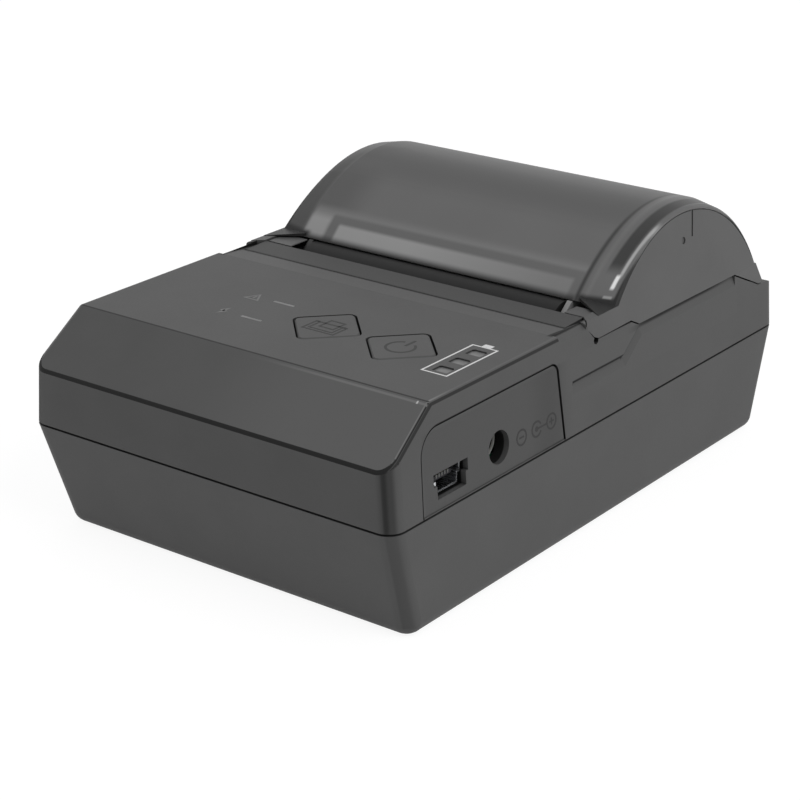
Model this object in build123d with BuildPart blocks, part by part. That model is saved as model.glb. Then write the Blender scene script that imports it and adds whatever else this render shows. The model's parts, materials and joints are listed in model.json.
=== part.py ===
from build123d import *
from math import cos, degrees, radians, sin, sqrt
import os

# Portable receipt printer for 58 mm paper, in millimetres. X runs across the paper, -Y is the front,
# and the origin is on the surface that it stands on, under the middle of the case.
os.makedirs("parts", exist_ok=True)

# Case
case_width = 82.0
case_length = 128.3
parting_z = 21.8
parting_gap = 0.4
wall = 2.0
floor = 2.8
foot_width = 79.48
foot_front_y = -57.15
foot_rear_y = 60.11
foot_round = 2.8
corner_round = 3.2
inner_corner = 1.0
side_lean = 0.075
deck_z = 41.24
slope_foot_z = 32.5
slope_top_y = -52.0
slope_top_round = 0.8
rim_round = 0.9
lip = 0.8
lip_height = 1.4
gap = 0.3

# Deck: its ramp falls to the seam, the strip lies behind the seam, and its sides are cut down there
ramp_y = -14.5
seam_y = -9.1
seam_z = 40.85
deck_opening_x = 37.2
side_cut = ((37.9, deck_z), (39.7, 40.1))
side_cut_end_y = -5.7
strip_front_y = -8.8
strip_rear_y = -2.45
strip_z = (39.1, 41.0)

# Hinge ledge across the rear
ledge_z = 31.2
ledge_y = 57.2
ledge_round = 3.4

# Cover: its side outline is a chain of tangent arcs, each a radius and the angle that it turns through
cover_lean = 0.16
cover_lean_z = 36.0
curve_start = (5.33, 41.2)
curve_heading = 45.95
curve_arcs = ((39.5, 22.5), (31.3, 42.3), (25.66, 60.6))
dome_proud = 1.41
dome_under = -0.6
rim_under = -0.2
cheek_under = -0.35
cheek_wall = 2.0
window_foot_z = 36.5
band_top_z = 36.2
band_foot_z = 31.7
shoulder_x = 33.0
shoulder_end_x = 41.0
shoulder_slope = 0.2
shoulder_edge = 0.3
toe_top_z = 42.0
toe_outline = ((32.2, 3.6), (39.6, -1.3), (39.6, 6.0), (33.0, 9.0))
toe_edge = 0.05
mark_depth = 0.25

# Hinge
hinge = (61.2, 29.5)
knuckle_x = (22.0, 32.0)
knuckle_r = 2.2
hinge_pin_r = 1.0
slot_gap = 0.3

# Platen and its gear train
platen = (2.9, 36.1)
platen_r = 4.8
platen_half = 29.4
platen_core_r = 2.0
journal_r = 1.5
running = 0.05
arm_x = (29.8, 30.8)
arm_hub_r = 3.6
bushing_r = 3.2
plate_x = (33.1, 34.3)
module = 0.5
platen_teeth = 16
idler_teeth = 26
pinion_teeth = 12
gear_x = (34.7, 36.1)
pinion_x = (36.3, 37.5)
idler_angle = 261.0
pinion_angle = 254.8
motor_r = 7.0
motor_end_x = 19.0
motor_shaft_r = 0.75
idler_pin_r = 1.0

# Steel frame of the mechanism
frame_y = (-12.0, 7.6)
frame_z = (8.2, 38.2)
frame_sheet = 1.2
cross_wall_y = (-11.6, -10.1)

# Thermal head
head_x = 27.0
head_pivot = (-5.6, 26.8)
head_pivot_r = 1.0
head_back_y = -4.6
head_plate_y = -3.0
head_front_y = -2.0
head_z = (26.3, 38.8)

# Roll trough
well = (32.2, 28.6)
well_r = 21.6
well_wall = 1.5
well_half = 29.6
flange_x = 37.6
flange_y = (9.2, 55.4)
flange_z = (32.5, 34.0)

# Battery and its door
battery_x = 26.0
battery_y = (-52.0, -14.0)
battery_z = (1.7, 20.0)
battery_round = 3.0
bay_gap = 0.2
bay_wall = 1.2
door_x = 28.0
door_y = (-53.5, -8.0)
door_z = (0.1, 1.5)
door_travel = 5.0
door_tongue = 0.7

# Boards and keys
board_x = (-36.5, 37.3)
board_y = (-60.0, -25.0)
board_z = (22.75, 24.35)
key_board_x = (-16.0, 37.0)
key_board_y = (-46.5, -24.6)
key_board_z = (33.6, 34.8)
key_half = (7.5, 7.9)
key_round = 1.2
key_gap = 0.35
key_flange_z = 38.4
keys = {"feed": (3.9, -34.4), "power": (20.4, -34.5)}
gauge_x = (31.0, 34.1)
gauge_y = (-38.9, -34.2, -29.3)
gauge_half_y = 1.3
gauge_corner = 0.4
lights = ((-9.85, -29.7), (-9.5, -39.2))
light_half = (2.4, 0.38)

# Ports in the right wall, as places along it
usb_y = -47.5
usb_z = 26.3
usb_back_x = 31.0
usb_front_x = 39.4
dc_y = -33.6
dc_z = 27.3
dc_hole_r = 3.0
dc_bore_r = 2.85
dc_front_x = 37.0
panel_recess = 0.15
panel_corners = ((-55.5, 0.4), (-55.1, 14.9), (-15.4, 14.9), (-13.8, 0.4))
panel_rounds = (4.5, 1.6)
panel_flange = 1.2

# Screws: (x, y) of each row, mirrored left to right where they pair, and the radius of each shank
case_screws_at = [(s * x, y) for s in (-1, 1) for x, y in ((33.8, -21), (34.5, 52))]
well_screws_at = [(s * 34.5, y) for s in (-1, 1) for y in (12, 52)]
mech_screws_at = [(x, y) for x in (-12, 28) for y in (-5, 3)]
board_screws_at = [(-33, -54.5), (33, -54.5), (-33, -28), (35, -40.8)]
key_screws_at = [(-13.9, -43), (34.2, -44.2), (-13.9, -26.8), (27.5, -26.8)]
bracket_screws_at = [(s * 35.1, 10.1) for s in (-1, 1)]
case_screw_r = 1.25
mech_screw_r = 1.0
board_screw_r = 0.8
screw_slack = 0.05
boss_r = 2.9
post_r = 2.2
case_split_z = 12.0
counterbore_r = 2.8
counterbore_z = 2.0
bracket_ear_y = (8.2, 12.0)
bracket_seat_z = 38.5

front_y = -case_length / 2
rear_y = case_length / 2
top_z = parting_z + parting_gap / 2
low_z = parting_z - parting_gap / 2
far = 90.0


def wall_x(z):
    """Outer face of the upper side wall at height z."""
    return case_width / 2 - side_lean * (z - parting_z)


def cover_x(z):
    """Outer face of the cover's cheek at height z."""
    return wall_x(cover_lean_z) - cover_lean * (z - cover_lean_z)


def block(x, y, z, mode=Mode.ADD):
    """Fills the ranges x, y and z, each a (low, high) pair."""
    with Locations(((x[0] + x[1]) / 2, (y[0] + y[1]) / 2, (z[0] + z[1]) / 2)):
        Box(x[1] - x[0], y[1] - y[0], z[1] - z[0], mode=mode)


def rod(x, centre, radius, mode=Mode.ADD):
    """Runs a round bar along X, across the range x, about centre (y, z)."""
    with BuildSketch(Plane.YZ.offset(x[0])) as section:
        with Locations(centre):
            Circle(radius)
    extrude(section.sketch, amount=x[1] - x[0], mode=mode)


def post(centre, z, radius, mode=Mode.ADD):
    """Stands an inner boss, or cuts its hole, at centre (x, y), across the range z, with eight sides."""
    with BuildSketch(Plane.XY.offset(z[0])) as section:
        with Locations(centre):
            RegularPolygon(radius, 8)
    extrude(section.sketch, amount=z[1] - z[0], mode=mode)


def screw(centre, seat_z, tip_z, shank_r):
    """Adds a screw whose head stands on seat_z. Its shank is left plain, with eight sides."""
    away = 1 if seat_z > tip_z else -1
    for z, radius, sides in ((seat_z, 2 * shank_r, 12), (tip_z, shank_r, 8)):
        with BuildSketch(Plane.XY.offset(z)) as section:
            with Locations(centre):
                RegularPolygon(radius, sides)
        extrude(section.sketch, amount=away * (1.3 * shank_r if z == seat_z else abs(seat_z - tip_z)))


def profile_bar(x, points, mode=Mode.ADD):
    """Runs a bar along X, across the range x, with the outline points, each (y, z)."""
    with BuildSketch(Plane.YZ.offset(x[0])) as section:
        Polygon(*points, align=None)
    extrude(section.sketch, amount=x[1] - x[0], mode=mode)


def both_sides(x):
    """Gives the range x on the right and its mirror image on the left."""
    return [x, (-x[1], -x[0])]


def gear(x, centre, teeth, phase):
    """Adds a spur gear across the range x, with one tooth at the angle phase."""
    pitch_r = module * teeth / 2
    root = (pitch_r - 1.25 * module, 0.32)
    tip = (pitch_r + module, 0.13)
    points = []
    for tooth in range(teeth):
        for side, (radius, half) in ((-1, root), (-1, tip), (1, tip), (1, root)):
            angle = radians(phase + 360 / teeth * (tooth + side * half))
            points.append((centre[0] + radius * cos(angle), centre[1] + radius * sin(angle)))
    profile_bar(x, points)


def beside(centre, distance, angle):
    """Gives the place at a distance from centre (y, z), at an angle."""
    return (centre[0] + distance * cos(radians(angle)), centre[1] + distance * sin(radians(angle)))


def taper(foot, rim, z):
    """Gives a tub wall's place at height z, between its foot and the parting line."""
    return foot + (rim - foot) * z / low_z


def tub_form(inset, z_low):
    """Makes the tub's tapered form above z_low, its walls moved in by inset."""
    with BuildPart() as form:
        sides = [(taper(foot_width, case_width, z) / 2 - inset, z) for z in (z_low, low_z)]
        with BuildSketch(Plane.XZ):
            Polygon(*sides, *[(-x, z) for x, z in sides[::-1]], align=None)
        extrude(amount=case_length, both=True)
        ends = [(taper(foot_front_y, front_y, z) + inset, z) for z in (z_low, low_z)]
        ends += [(taper(foot_rear_y, rear_y, z) - inset, z) for z in (low_z, z_low)]
        with BuildSketch(Plane.YZ):
            Polygon(*ends, align=None)
        extrude(amount=case_width, both=True, mode=Mode.INTERSECT)
        uprights = form.edges().filter_by(lambda e: abs((e @ 1 - e @ 0).Z) > 5)
        if inset:
            chamfer(uprights, inner_corner)
        else:
            fillet(uprights, corner_round)
    return form


def upper_form(inset):
    """Makes the upper shell's form, moved in by inset except at its open bottom."""
    with BuildPart() as form:
        with BuildSketch(Plane.YZ) as side:
            Polygon(
                (front_y, top_z - 2 * inset),
                (front_y + 0.1, slope_foot_z),
                (slope_top_y, deck_z),
                (rear_y, deck_z),
                (rear_y, top_z - 2 * inset),
                align=None,
            )
            if inset:
                offset(amount=-inset, kind=Kind.INTERSECTION)
            else:
                fillet(side.vertices().group_by(Axis.Y)[-1].sort_by(Axis.X)[0], slope_top_round)
        extrude(amount=case_width, both=True)
        with BuildSketch(Plane.XZ):
            Polygon(
                (wall_x(0) - inset, 0),
                (wall_x(deck_z + 1) - inset, deck_z + 1),
                (inset - wall_x(deck_z + 1), deck_z + 1),
                (inset - wall_x(0), 0),
                align=None,
            )
        extrude(amount=case_length, both=True, mode=Mode.INTERSECT)
        uprights = form.edges().filter_by(lambda e: e.length > 5 and abs(e.tangent_at(0.5).Z) > 0.9)
        if inset:
            chamfer(uprights, inner_corner)
        else:
            fillet(uprights, corner_round)
            rims = form.faces().filter_by(lambda f: f.normal_at().Z > 0.5).edges()
            rims = rims.filter_by(lambda e: abs(e.tangent_at(0.5).X) < 0.5 and e.length > 5)
            fillet(rims, rim_round)
    return form


def cover_curve(proud):
    """Draws the cover's side outline, moved out by proud, from just under the deck to the rear edge."""
    heading = radians(curve_heading)
    at = curve_start
    start = (at[0] - proud * sin(heading), at[1] + proud * cos(heading))
    foot_z = deck_z - 3
    foot_y = start[0] - (start[1] - foot_z) * cos(heading) / sin(heading)
    Line((foot_y, foot_z), start)
    for radius, turn in curve_arcs:
        centre = (at[0] + radius * sin(heading), at[1] - radius * cos(heading))
        CenterArc(centre, radius + proud, degrees(heading) + 90, -turn)
        heading -= radians(turn)
        at = (centre[0] - radius * sin(heading), centre[1] + radius * cos(heading))


def curve_face(x, proud):
    """Draws the region under the cover's outline, moved out by proud, in the plane at x."""
    base_z = deck_z - 9
    with BuildSketch(Plane.YZ.offset(x)) as face:
        with BuildLine() as rim:
            cover_curve(proud)
            foot = rim.line @ 0
            Polyline(rim.line @ 1, (40, base_z), (foot.X, base_z), foot)
        make_face()
    return face.sketch


def under_curve(proud):
    """Makes the solid under the cover's outline, wider than the case."""
    with BuildPart() as form:
        extrude(curve_face(0, proud), amount=case_width, both=True)
    return form


def slab(outer, inset=0.0):
    """Makes the bar along Y whose sides lie inset within the outer (x, z) points of the right side."""
    with BuildPart() as form:
        with BuildSketch(Plane.XZ):
            right = [(x - inset, z) for x, z in outer]
            Polygon(*right, *[(-x, z) for x, z in reversed(right)], align=None)
        extrude(amount=case_length, both=True)
    return form


def side_line(clear):
    """Outlines the space of the cover over the body, in (y, z), moved up and back by clear."""
    return [
        (side_cut_end_y + clear, 60),
        (side_cut_end_y + clear, deck_z),
        (-4.9 + clear, 39.6),
        (-3.3 + clear * 1.5, 37.9),
        (-1.8 + clear, 37.3 + clear * 0.2),
        (9.5, 37.2 + clear),
        (12.2, 35.9 + clear),
        (47.8, 35.7 + clear),
        (ledge_y, ledge_z + 0.25 + clear),
        (rear_y + 1, ledge_z + clear),
        (rear_y + 1, 60),
    ]


def cover_plan(clear):
    """Outlines the cover from above, moved back by clear: its cheeks reach forward beside the deck."""
    corner = (deck_opening_x - 0.6 + clear, -2.7 + clear)
    return [
        (-50, -16 + clear * 1.5), (-corner[0], corner[1]), corner, (50, -16 + clear * 1.5), (50, 80), (-50, 80),
    ]


# Lower shell
tub = tub_form(0, 0)
tub_inside = tub_form(wall, floor)
bay_x = battery_x + bay_gap
bay_y = (battery_y[0] - bay_gap, battery_y[1] + bay_gap)
bay_top = battery_z[1] + bay_gap
bay_floor = 1.6
groove_z = (0.8, bay_floor)
post_foot = floor - 0.5
with BuildPart() as lower_case:
    add(tub.part)
    fillet(lower_case.edges().group_by(Axis.Z)[0], foot_round)
    add(tub_inside.part, mode=Mode.SUBTRACT)
    # Lip that stands up inside the upper shell, left out behind the port panel
    with BuildSketch(Plane.XY.offset(low_z - 2)):
        RectangleRounded(case_width - 2 * (wall - lip), case_length - 2 * (wall - lip), 2)
        RectangleRounded(case_width - 2 * wall, case_length - 2 * wall, 1.2, mode=Mode.SUBTRACT)
    extrude(amount=2 + lip_height)
    block((35, 45), (-56.5, -12.5), (low_z, low_z + 5), Mode.SUBTRACT)
    block(
        (-bay_x - bay_wall, bay_x + bay_wall),
        (bay_y[0] - bay_wall, bay_y[1] + bay_wall),
        (post_foot, bay_top + 1),
    )
    for place in case_screws_at:
        post(place, (post_foot, case_split_z), boss_r)
    for place in mech_screws_at:
        post(place, (post_foot, frame_z[0]), post_r)
    for place in board_screws_at:
        post(place, (post_foot, board_z[0]), post_r)
    # Battery bay, the recess of its door and the grooves that the door slides in
    block((-bay_x, bay_x), bay_y, (-1, bay_top), Mode.SUBTRACT)
    block((-door_x, door_x), door_y, (-1, bay_floor), Mode.SUBTRACT)
    for x in both_sides((door_x - 0.5, door_x + door_tongue + 0.2)):
        block(x, door_y, groove_z, Mode.SUBTRACT)
    for place in case_screws_at:
        with BuildSketch():
            with Locations(place):
                RegularPolygon(counterbore_r, 12)
        extrude(amount=counterbore_z, mode=Mode.SUBTRACT)
        post(place, (-1, case_split_z + 1), case_screw_r + 4 * screw_slack, Mode.SUBTRACT)
    for place in mech_screws_at:
        post(place, (post_foot + 1, frame_z[0] + 1), mech_screw_r + screw_slack, Mode.SUBTRACT)
    for place in board_screws_at:
        post(place, (board_z[0] - 6, board_z[0] + 1), board_screw_r + screw_slack, Mode.SUBTRACT)

# Upper shell
shell = upper_form(0)
shell_inside = upper_form(wall)
side_plane = Plane(origin=(case_width / 2, 0, parting_z), x_dir=(0, 1, 0), z_dir=(1, 0, side_lean))


def panel_outline(grow):
    """Draws the port panel on the side wall, grown by grow."""
    (front, low), (front_top, high), (rear_top, _), (rear, _) = panel_corners
    with BuildSketch(side_plane) as outline:
        with BuildLine():
            FilletPolyline(
                (front - grow, low),
                (front_top - grow, high + grow),
                (rear_top + grow, high + grow),
                (rear + grow, low),
                radius=[radius + grow for radius in panel_rounds],
            )
            Line((rear + grow, low), (front - grow, low))
        make_face()
    return outline.sketch


def port_holes(depth):
    """Cuts the stepped data port and the round power inlet through the panel."""
    with BuildSketch(side_plane) as holes:
        with Locations((usb_y, usb_z + 1.2 - parting_z)):
            Rectangle(9.6, 2.2)
        with Locations((usb_y + 0.1, usb_z - 1.1 - parting_z)):
            Rectangle(8.0, 2.4)
        with Locations((dc_y, dc_z - parting_z)):
            Circle(dc_hole_r)
    extrude(holes.sketch, amount=depth, both=True, mode=Mode.SUBTRACT)


def diamond(centre, grow):
    """Draws a key's diamond, grown by grow."""
    half = [h + grow * sqrt(2) for h in key_half]
    with Locations(centre):
        Polygon((half[0], 0), (0, half[1]), (-half[0], 0), (0, -half[1]))


with BuildPart() as cover_space:
    with BuildSketch(Plane.YZ):
        Polygon(*side_line(0), align=None)
        with Locations((-2.6, 37.3)):
            RegularPolygon(0.8, 8)
    extrude(amount=case_width, both=True)
    with BuildSketch():
        Polygon(*cover_plan(0), align=None)
    extrude(amount=far, mode=Mode.INTERSECT)

# Space over the rounded rear edge of the ledge
with BuildPart() as ledge_corner:
    with BuildSketch(Plane.YZ):
        with Locations((rear_y - ledge_round, ledge_z - ledge_round)):
            Rectangle(5, 5, align=(Align.MIN, Align.MIN))
            Circle(ledge_round, mode=Mode.SUBTRACT)
    extrude(amount=case_width, both=True)

# Finger scoop: a wedge swept along the side, rising with the cover's lower edge
scoop_path = ((-10.6, 31.8), (6.2, 31.8), (12.2, 36.0), (47.8, 36.0))
scoop_depth = 0.7
scoop_tall = 2.2
with BuildPart() as scoop:
    with BuildLine():
        Polyline(*[(wall_x(z), y, z) for y, z in scoop_path])
    start_y, start_z = scoop_path[0]
    with BuildSketch(Plane.XZ.offset(-start_y)) as wedge:
        Polygon(
            (wall_x(start_z) + 1, start_z),
            (wall_x(start_z) - scoop_depth, start_z),
            (wall_x(start_z - scoop_tall), start_z - scoop_tall),
            (wall_x(start_z - scoop_tall) + 1, start_z - scoop_tall),
            align=None,
        )
    sweep(wedge.sketch, transition=Transition.RIGHT)

ledge_inside = (25.4, 33.0)
rib_z = (24.0, 31.0)
with BuildPart() as upper_case:
    add(shell.part)
    add(shell_inside.part, mode=Mode.SUBTRACT)
    # Ledge with the blocks of the hinge, inside the rear wall
    for x in both_sides((knuckle_x[0] - 2, knuckle_x[1] + 2)):
        block(x, (ledge_y, rear_y - 1), ledge_inside)
    block((-39, 39), (ledge_y, rear_y - 1), (ledge_z - wall, ledge_inside[1]))
    add(cover_space.part, mode=Mode.SUBTRACT)
    add(ledge_corner.part, mode=Mode.SUBTRACT)
    for x in both_sides((knuckle_x[0] - slot_gap, knuckle_x[1] + slot_gap)):
        block(x, (ledge_y - 1, rear_y + 1), (hinge[1] - knuckle_r - 0.1, 40), Mode.SUBTRACT)
    for x in both_sides((knuckle_x[0] - 2, knuckle_x[1] + 2)):
        rod(x, hinge, hinge_pin_r, Mode.SUBTRACT)
    # Deck: the ramp falls to the seam, and the opening lies behind it
    ramp_x = deck_opening_x + 0.9
    ramp_end_z = deck_z + (deck_z - seam_z) / (seam_y - ramp_y) * ramp_y
    profile_bar((-ramp_x, ramp_x), [(ramp_y, deck_z), (0, ramp_end_z), (0, 45), (ramp_y, 45)], Mode.SUBTRACT)
    block((-deck_opening_x, deck_opening_x), (seam_y, 20), (30, 50), Mode.SUBTRACT)
    for s in (-1, 1):
        (cut_x, cut_z), (edge_x, edge_z) = side_cut
        outline = [(cut_x, 42), (cut_x, cut_z), (edge_x, edge_z), (edge_x + 2, edge_z), (edge_x + 2, 42)]
        with BuildSketch(Plane.XZ.offset(-ramp_y)):
            Polygon(*[(s * x, z) for x, z in outline], align=None)
        extrude(amount=ramp_y - side_cut_end_y, mode=Mode.SUBTRACT)
    for centre in keys.values():
        with BuildSketch(Plane.XY.offset(deck_z - wall - 1)) as pocket:
            diamond(centre, key_gap)
            fillet(pocket.vertices(), key_round + key_gap)
        extrude(amount=wall + 2, mode=Mode.SUBTRACT)
    for y in gauge_y:
        with BuildSketch(Plane.XY.offset(deck_z - wall - 1)) as pocket:
            with Locations(((gauge_x[0] + gauge_x[1]) / 2, y)):
                Rectangle(gauge_x[1] - gauge_x[0], 2 * gauge_half_y)
            chamfer(pocket.vertices().group_by(Axis.Y)[-1], gauge_corner)
        extrude(amount=wall + 2, mode=Mode.SUBTRACT)
    for x, y in lights:
        block(
            (x - light_half[0], x + light_half[0]),
            (y - light_half[1], y + light_half[1]),
            (deck_z - wall - 1, 43),
            Mode.SUBTRACT,
        )
    extrude(panel_outline(gap), amount=5, both=True, mode=Mode.SUBTRACT)
    # Bosses of the case, roll trough and key board
    for x, y in case_screws_at:
        if y < 0:
            post((x, y), (case_split_z + 0.2, deck_z - wall), boss_r)
    for x, y in well_screws_at:
        foot = case_split_z + 0.2 if y > 40 else rib_z[0]
        post((x, y), (foot, flange_z[0]), boss_r)
        s = 1 if x > 0 else -1
        rib_x = sorted((s * 35, s * (wall_x(rib_z[1]) - 1.2)))
        block(rib_x, (y - 0.8, y + 0.8), rib_z)
    for place in key_screws_at:
        post(place, (key_board_z[1], deck_z - wall), 1.8)
    for place in case_screws_at:
        post(place, (case_split_z, 22), case_screw_r + screw_slack, Mode.SUBTRACT)
    for place in well_screws_at:
        post(place, (flange_z[0] - 6, flange_z[1]), mech_screw_r + screw_slack, Mode.SUBTRACT)
    for place in key_screws_at:
        post(place, (key_board_z[1] - 1, key_board_z[1] + 3.6), board_screw_r + screw_slack, Mode.SUBTRACT)
    # Rebate over the lip of the lower shell
    with BuildSketch(Plane.XY.offset(top_z - 1)):
        RectangleRounded(case_width - 2, case_length - 2, 2)
        RectangleRounded(case_width - 8, case_length - 8, 2, mode=Mode.SUBTRACT)
    extrude(amount=1 + lip_height + 0.2, mode=Mode.SUBTRACT)
    add(scoop.part, mode=Mode.SUBTRACT)
    add(mirror(scoop.part, about=Plane.YZ, mode=Mode.PRIVATE), mode=Mode.SUBTRACT)

# Strip between the seam and the slot, with a hook under the deck and a groove for the tear blade
strip_x = deck_opening_x - 0.2
blade_z = (39.3, 39.7)
blade_y = -4.3
with BuildPart() as exit_bar:
    profile_bar(
        (-strip_x, strip_x),
        [
            (-10.6, 38.2),
            (-5.8, 38.2),
            (-5.8, strip_z[0]),
            (strip_rear_y, strip_z[0]),
            (strip_rear_y, strip_z[1] - 0.3),
            (strip_rear_y - 0.3, strip_z[1]),
            (strip_front_y, strip_z[1] - 0.2),
            (strip_front_y, 39.2),
            (-10.6, 39.2),
        ],
    )
    block((-30, 30), (blade_y, 0), blade_z, Mode.SUBTRACT)

tooth_pitch = 1.5
tooth_count = 39
with BuildPart() as tear_bar:
    with BuildSketch(Plane.XY.offset(blade_z[0])):
        with Locations((0, blade_y)):
            Rectangle(tooth_pitch * tooth_count, 1.7, align=(Align.CENTER, Align.MIN))
        with Locations((0, blade_y + 1.7)):
            with GridLocations(tooth_pitch, 0, tooth_count, 1):
                Triangle(a=tooth_pitch, b=0.85, c=0.85, align=(Align.CENTER, Align.MIN))
    extrude(amount=blade_z[1] - blade_z[0])

# Port panel: a plate in the wall's opening with a flange against its inner face
with BuildPart() as port_panel:
    extrude(panel_outline(panel_flange), amount=-wall - 1.0)
    add(shell_inside.part, mode=Mode.INTERSECT)
    extrude(panel_outline(0), amount=-wall)
    extrude(panel_outline(2 * panel_flange), amount=-panel_recess, mode=Mode.SUBTRACT)
    port_holes(8)

# Cover: the dome's outer form, whose shoulders fall towards the cheeks
outer_lean = [(cover_x(30), 30), (cover_x(58), 58)]
body_lean = [(wall_x(28), 28), (wall_x(cover_lean_z), cover_lean_z), (cover_x(58), 58)]
cover_slab = slab(body_lean)
cover_core = slab(body_lean, cheek_wall)
with BuildPart() as dome_form:
    drop = shoulder_slope * (shoulder_end_x - shoulder_x)
    sides = [(-shoulder_end_x, dome_proud - drop), (-shoulder_x, dome_proud)]
    loft([curve_face(x, proud) for x, proud in sides + [(-x, proud) for x, proud in sides[::-1]]], ruled=True)
    add(slab(outer_lean).part, mode=Mode.INTERSECT)
    add(cover_slab.part, mode=Mode.INTERSECT)
    rims = dome_form.edges().filter_by(lambda e: e.length > 10 and abs(e.center().X) > 35 and e.center().Z > 40)
    chamfer(rims.filter_by(lambda e: abs(e.tangent_at(0.5).X) < 0.3), shoulder_edge)

# Toe at each side of the window, which lies on the front of the cheek
with BuildPart() as toes:
    for s in (-1, 1):
        with BuildSketch(Plane.XY.offset(deck_z)):
            Polygon(*[(s * x, y) for x, y in toe_outline], align=None)
        extrude(amount=toe_top_z - deck_z)
        with BuildSketch(Plane.XZ):
            Polygon(
                (s * 31, toe_top_z),
                (s * 39.3, deck_z + toe_edge),
                (s * 40, deck_z + toe_edge),
                (s * 40, 44),
                (s * 31, 44),
                align=None,
            )
        extrude(amount=20, both=True, mode=Mode.SUBTRACT)
    add(cover_slab.part, mode=Mode.INTERSECT)

# Space over each cheek that the window's rim leaves free
with BuildPart() as over_cheek:
    add(under_curve(rim_under).part)
    add(slab(body_lean, cheek_wall + gap).part, mode=Mode.SUBTRACT)

with BuildPart() as cover_window:
    add(dome_form.part)
    add(toes.part)
    block((-45, 45), (-10, 45), (20, deck_z), Mode.SUBTRACT)
    block((-45, 45), (40, 70), (20, window_foot_z), Mode.SUBTRACT)
    add(under_curve(dome_under).part, mode=Mode.SUBTRACT)
    add(over_cheek.part, mode=Mode.SUBTRACT)

# Marks in each cheek: a fine upright groove and a dimple before it
with BuildPart() as cheek_marks:
    with BuildSketch(Plane.YZ):
        Polygon((34.05, 52.5), (34.55, 52.5), (33.55, 47.2), (33.05, 47.2), align=None)
        with Locations((30.1, 47.2)):
            RegularPolygon(0.7, 8)
    extrude(amount=case_width, both=True)
    add(slab(body_lean, mark_depth).part, mode=Mode.SUBTRACT)

# Side view of the cheeks, and the rear band that joins them under the window
with BuildPart() as cheek_side:
    add(under_curve(cheek_under).part)
    with BuildSketch(Plane.YZ):
        Polygon(
            (-6, 30), (-6, deck_z), (8, deck_z), (30, band_top_z), (56.3, band_top_z), (58.7, 32.2), (58.9, 30),
            align=None,
        )
    extrude(amount=case_width, both=True)

with BuildPart() as band:
    add(dome_form.part)
    block((-45, 45), (-10, 70), (band_top_z, 70), Mode.SUBTRACT)
    block((-45, 45), (-10, 50), (20, 70), Mode.SUBTRACT)
    block((-45, 45), (-10, 70), (20, band_foot_z), Mode.SUBTRACT)
    add(under_curve(dome_under).part, mode=Mode.SUBTRACT)
    with BuildSketch(Plane.YZ):
        Polygon(*side_line(gap), align=None)
    extrude(amount=case_width, both=True, mode=Mode.INTERSECT)

boss_z = (36.9, bracket_seat_z)
with BuildPart() as cover_frame:
    add(cover_slab.part)
    add(cover_core.part, mode=Mode.SUBTRACT)
    with BuildSketch(Plane.YZ):
        Polygon(*side_line(gap), align=None)
    extrude(amount=case_width, both=True, mode=Mode.INTERSECT)
    add(cheek_side.part, mode=Mode.INTERSECT)
    with BuildSketch():
        Polygon(*cover_plan(gap * 0.7), align=None)
    extrude(amount=far, mode=Mode.INTERSECT)
    add(cheek_marks.part, mode=Mode.SUBTRACT)
    add(band.part)
    for x in both_sides(knuckle_x):
        rod(x, hinge, knuckle_r)
        profile_bar(
            x,
            [(57.2, 31.6), (57.9, 34.4), (hinge[0] + 1.3, hinge[1] + 1.7), (hinge[0] - 1.6, hinge[1] - 1.5)],
        )
        rod(x, hinge, hinge_pin_r + running, Mode.SUBTRACT)
    for x in both_sides((33.4, 37.6)):
        block(x, bracket_ear_y, boss_z)
    for place in bracket_screws_at:
        post(place, (boss_z[0] + 0.3, boss_z[1] + 1), board_screw_r + screw_slack, Mode.SUBTRACT)

# Bracket of the platen: a plate along the inside of the window, with an arm at each end
plate_under = (dome_under - 0.1, dome_under - 1.4)
with BuildPart() as bracket_plate:
    add(under_curve(plate_under[0]).part)
    add(under_curve(plate_under[1]).part, mode=Mode.SUBTRACT)
    block((-45, 45), (bracket_ear_y[1], far), (0, far), Mode.SUBTRACT)
    block((-45, 45), (-10, far), (0, deck_z), Mode.SUBTRACT)

with BuildPart() as over_bracket:
    block((-45, 45), (-10, 60), (deck_z - 0.2, 60))
    add(under_curve(plate_under[0]).part, mode=Mode.SUBTRACT)

ear_x = (30.5, 37.0)
ear_z = (bracket_seat_z, bracket_seat_z + 1.2)
with BuildPart() as platen_bracket:
    add(bracket_plate.part)
    block((-33.3, 33.3), (-20, far), (0, far), Mode.INTERSECT)
    for x in both_sides(arm_x):
        with BuildSketch(Plane.YZ.offset(x[0])):
            with Locations(platen):
                Circle(arm_hub_r)
            Polygon(
                (-0.6, 37.2),
                (-0.4, 38.1),
                (3.4, 41.2),
                (12.0, 48.0),
                (12.0, 41.4),
                (6.5, 36.1),
                (2.9, 32.6),
                (-0.6, 35.4),
                align=None,
            )
        extrude(amount=x[1] - x[0])
        rod(x, platen, journal_r + running, Mode.SUBTRACT)
    for x in both_sides(ear_x):
        block(x, bracket_ear_y, ear_z)
    add(over_bracket.part, mode=Mode.SUBTRACT)
    for place in bracket_screws_at:
        post(place, (ear_z[0] - 1, ear_z[1] + 1), board_screw_r + 4 * screw_slack, Mode.SUBTRACT)

# Platen roller
shaft_end = 34.4
with BuildPart() as platen_shaft:
    rod((-platen_half, platen_half), platen, platen_core_r)
    rod((-gear_x[1], shaft_end), platen, journal_r)

with BuildPart() as platen_rubber:
    rod((-platen_half, platen_half), platen, platen_r)
    rod((-platen_half, platen_half), platen, platen_core_r, Mode.SUBTRACT)

with BuildPart() as platen_gear:
    gear((-gear_x[1], -gear_x[0]), platen, platen_teeth, idler_angle)
    rod((-gear_x[1], -gear_x[0]), platen, journal_r, Mode.SUBTRACT)

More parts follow.
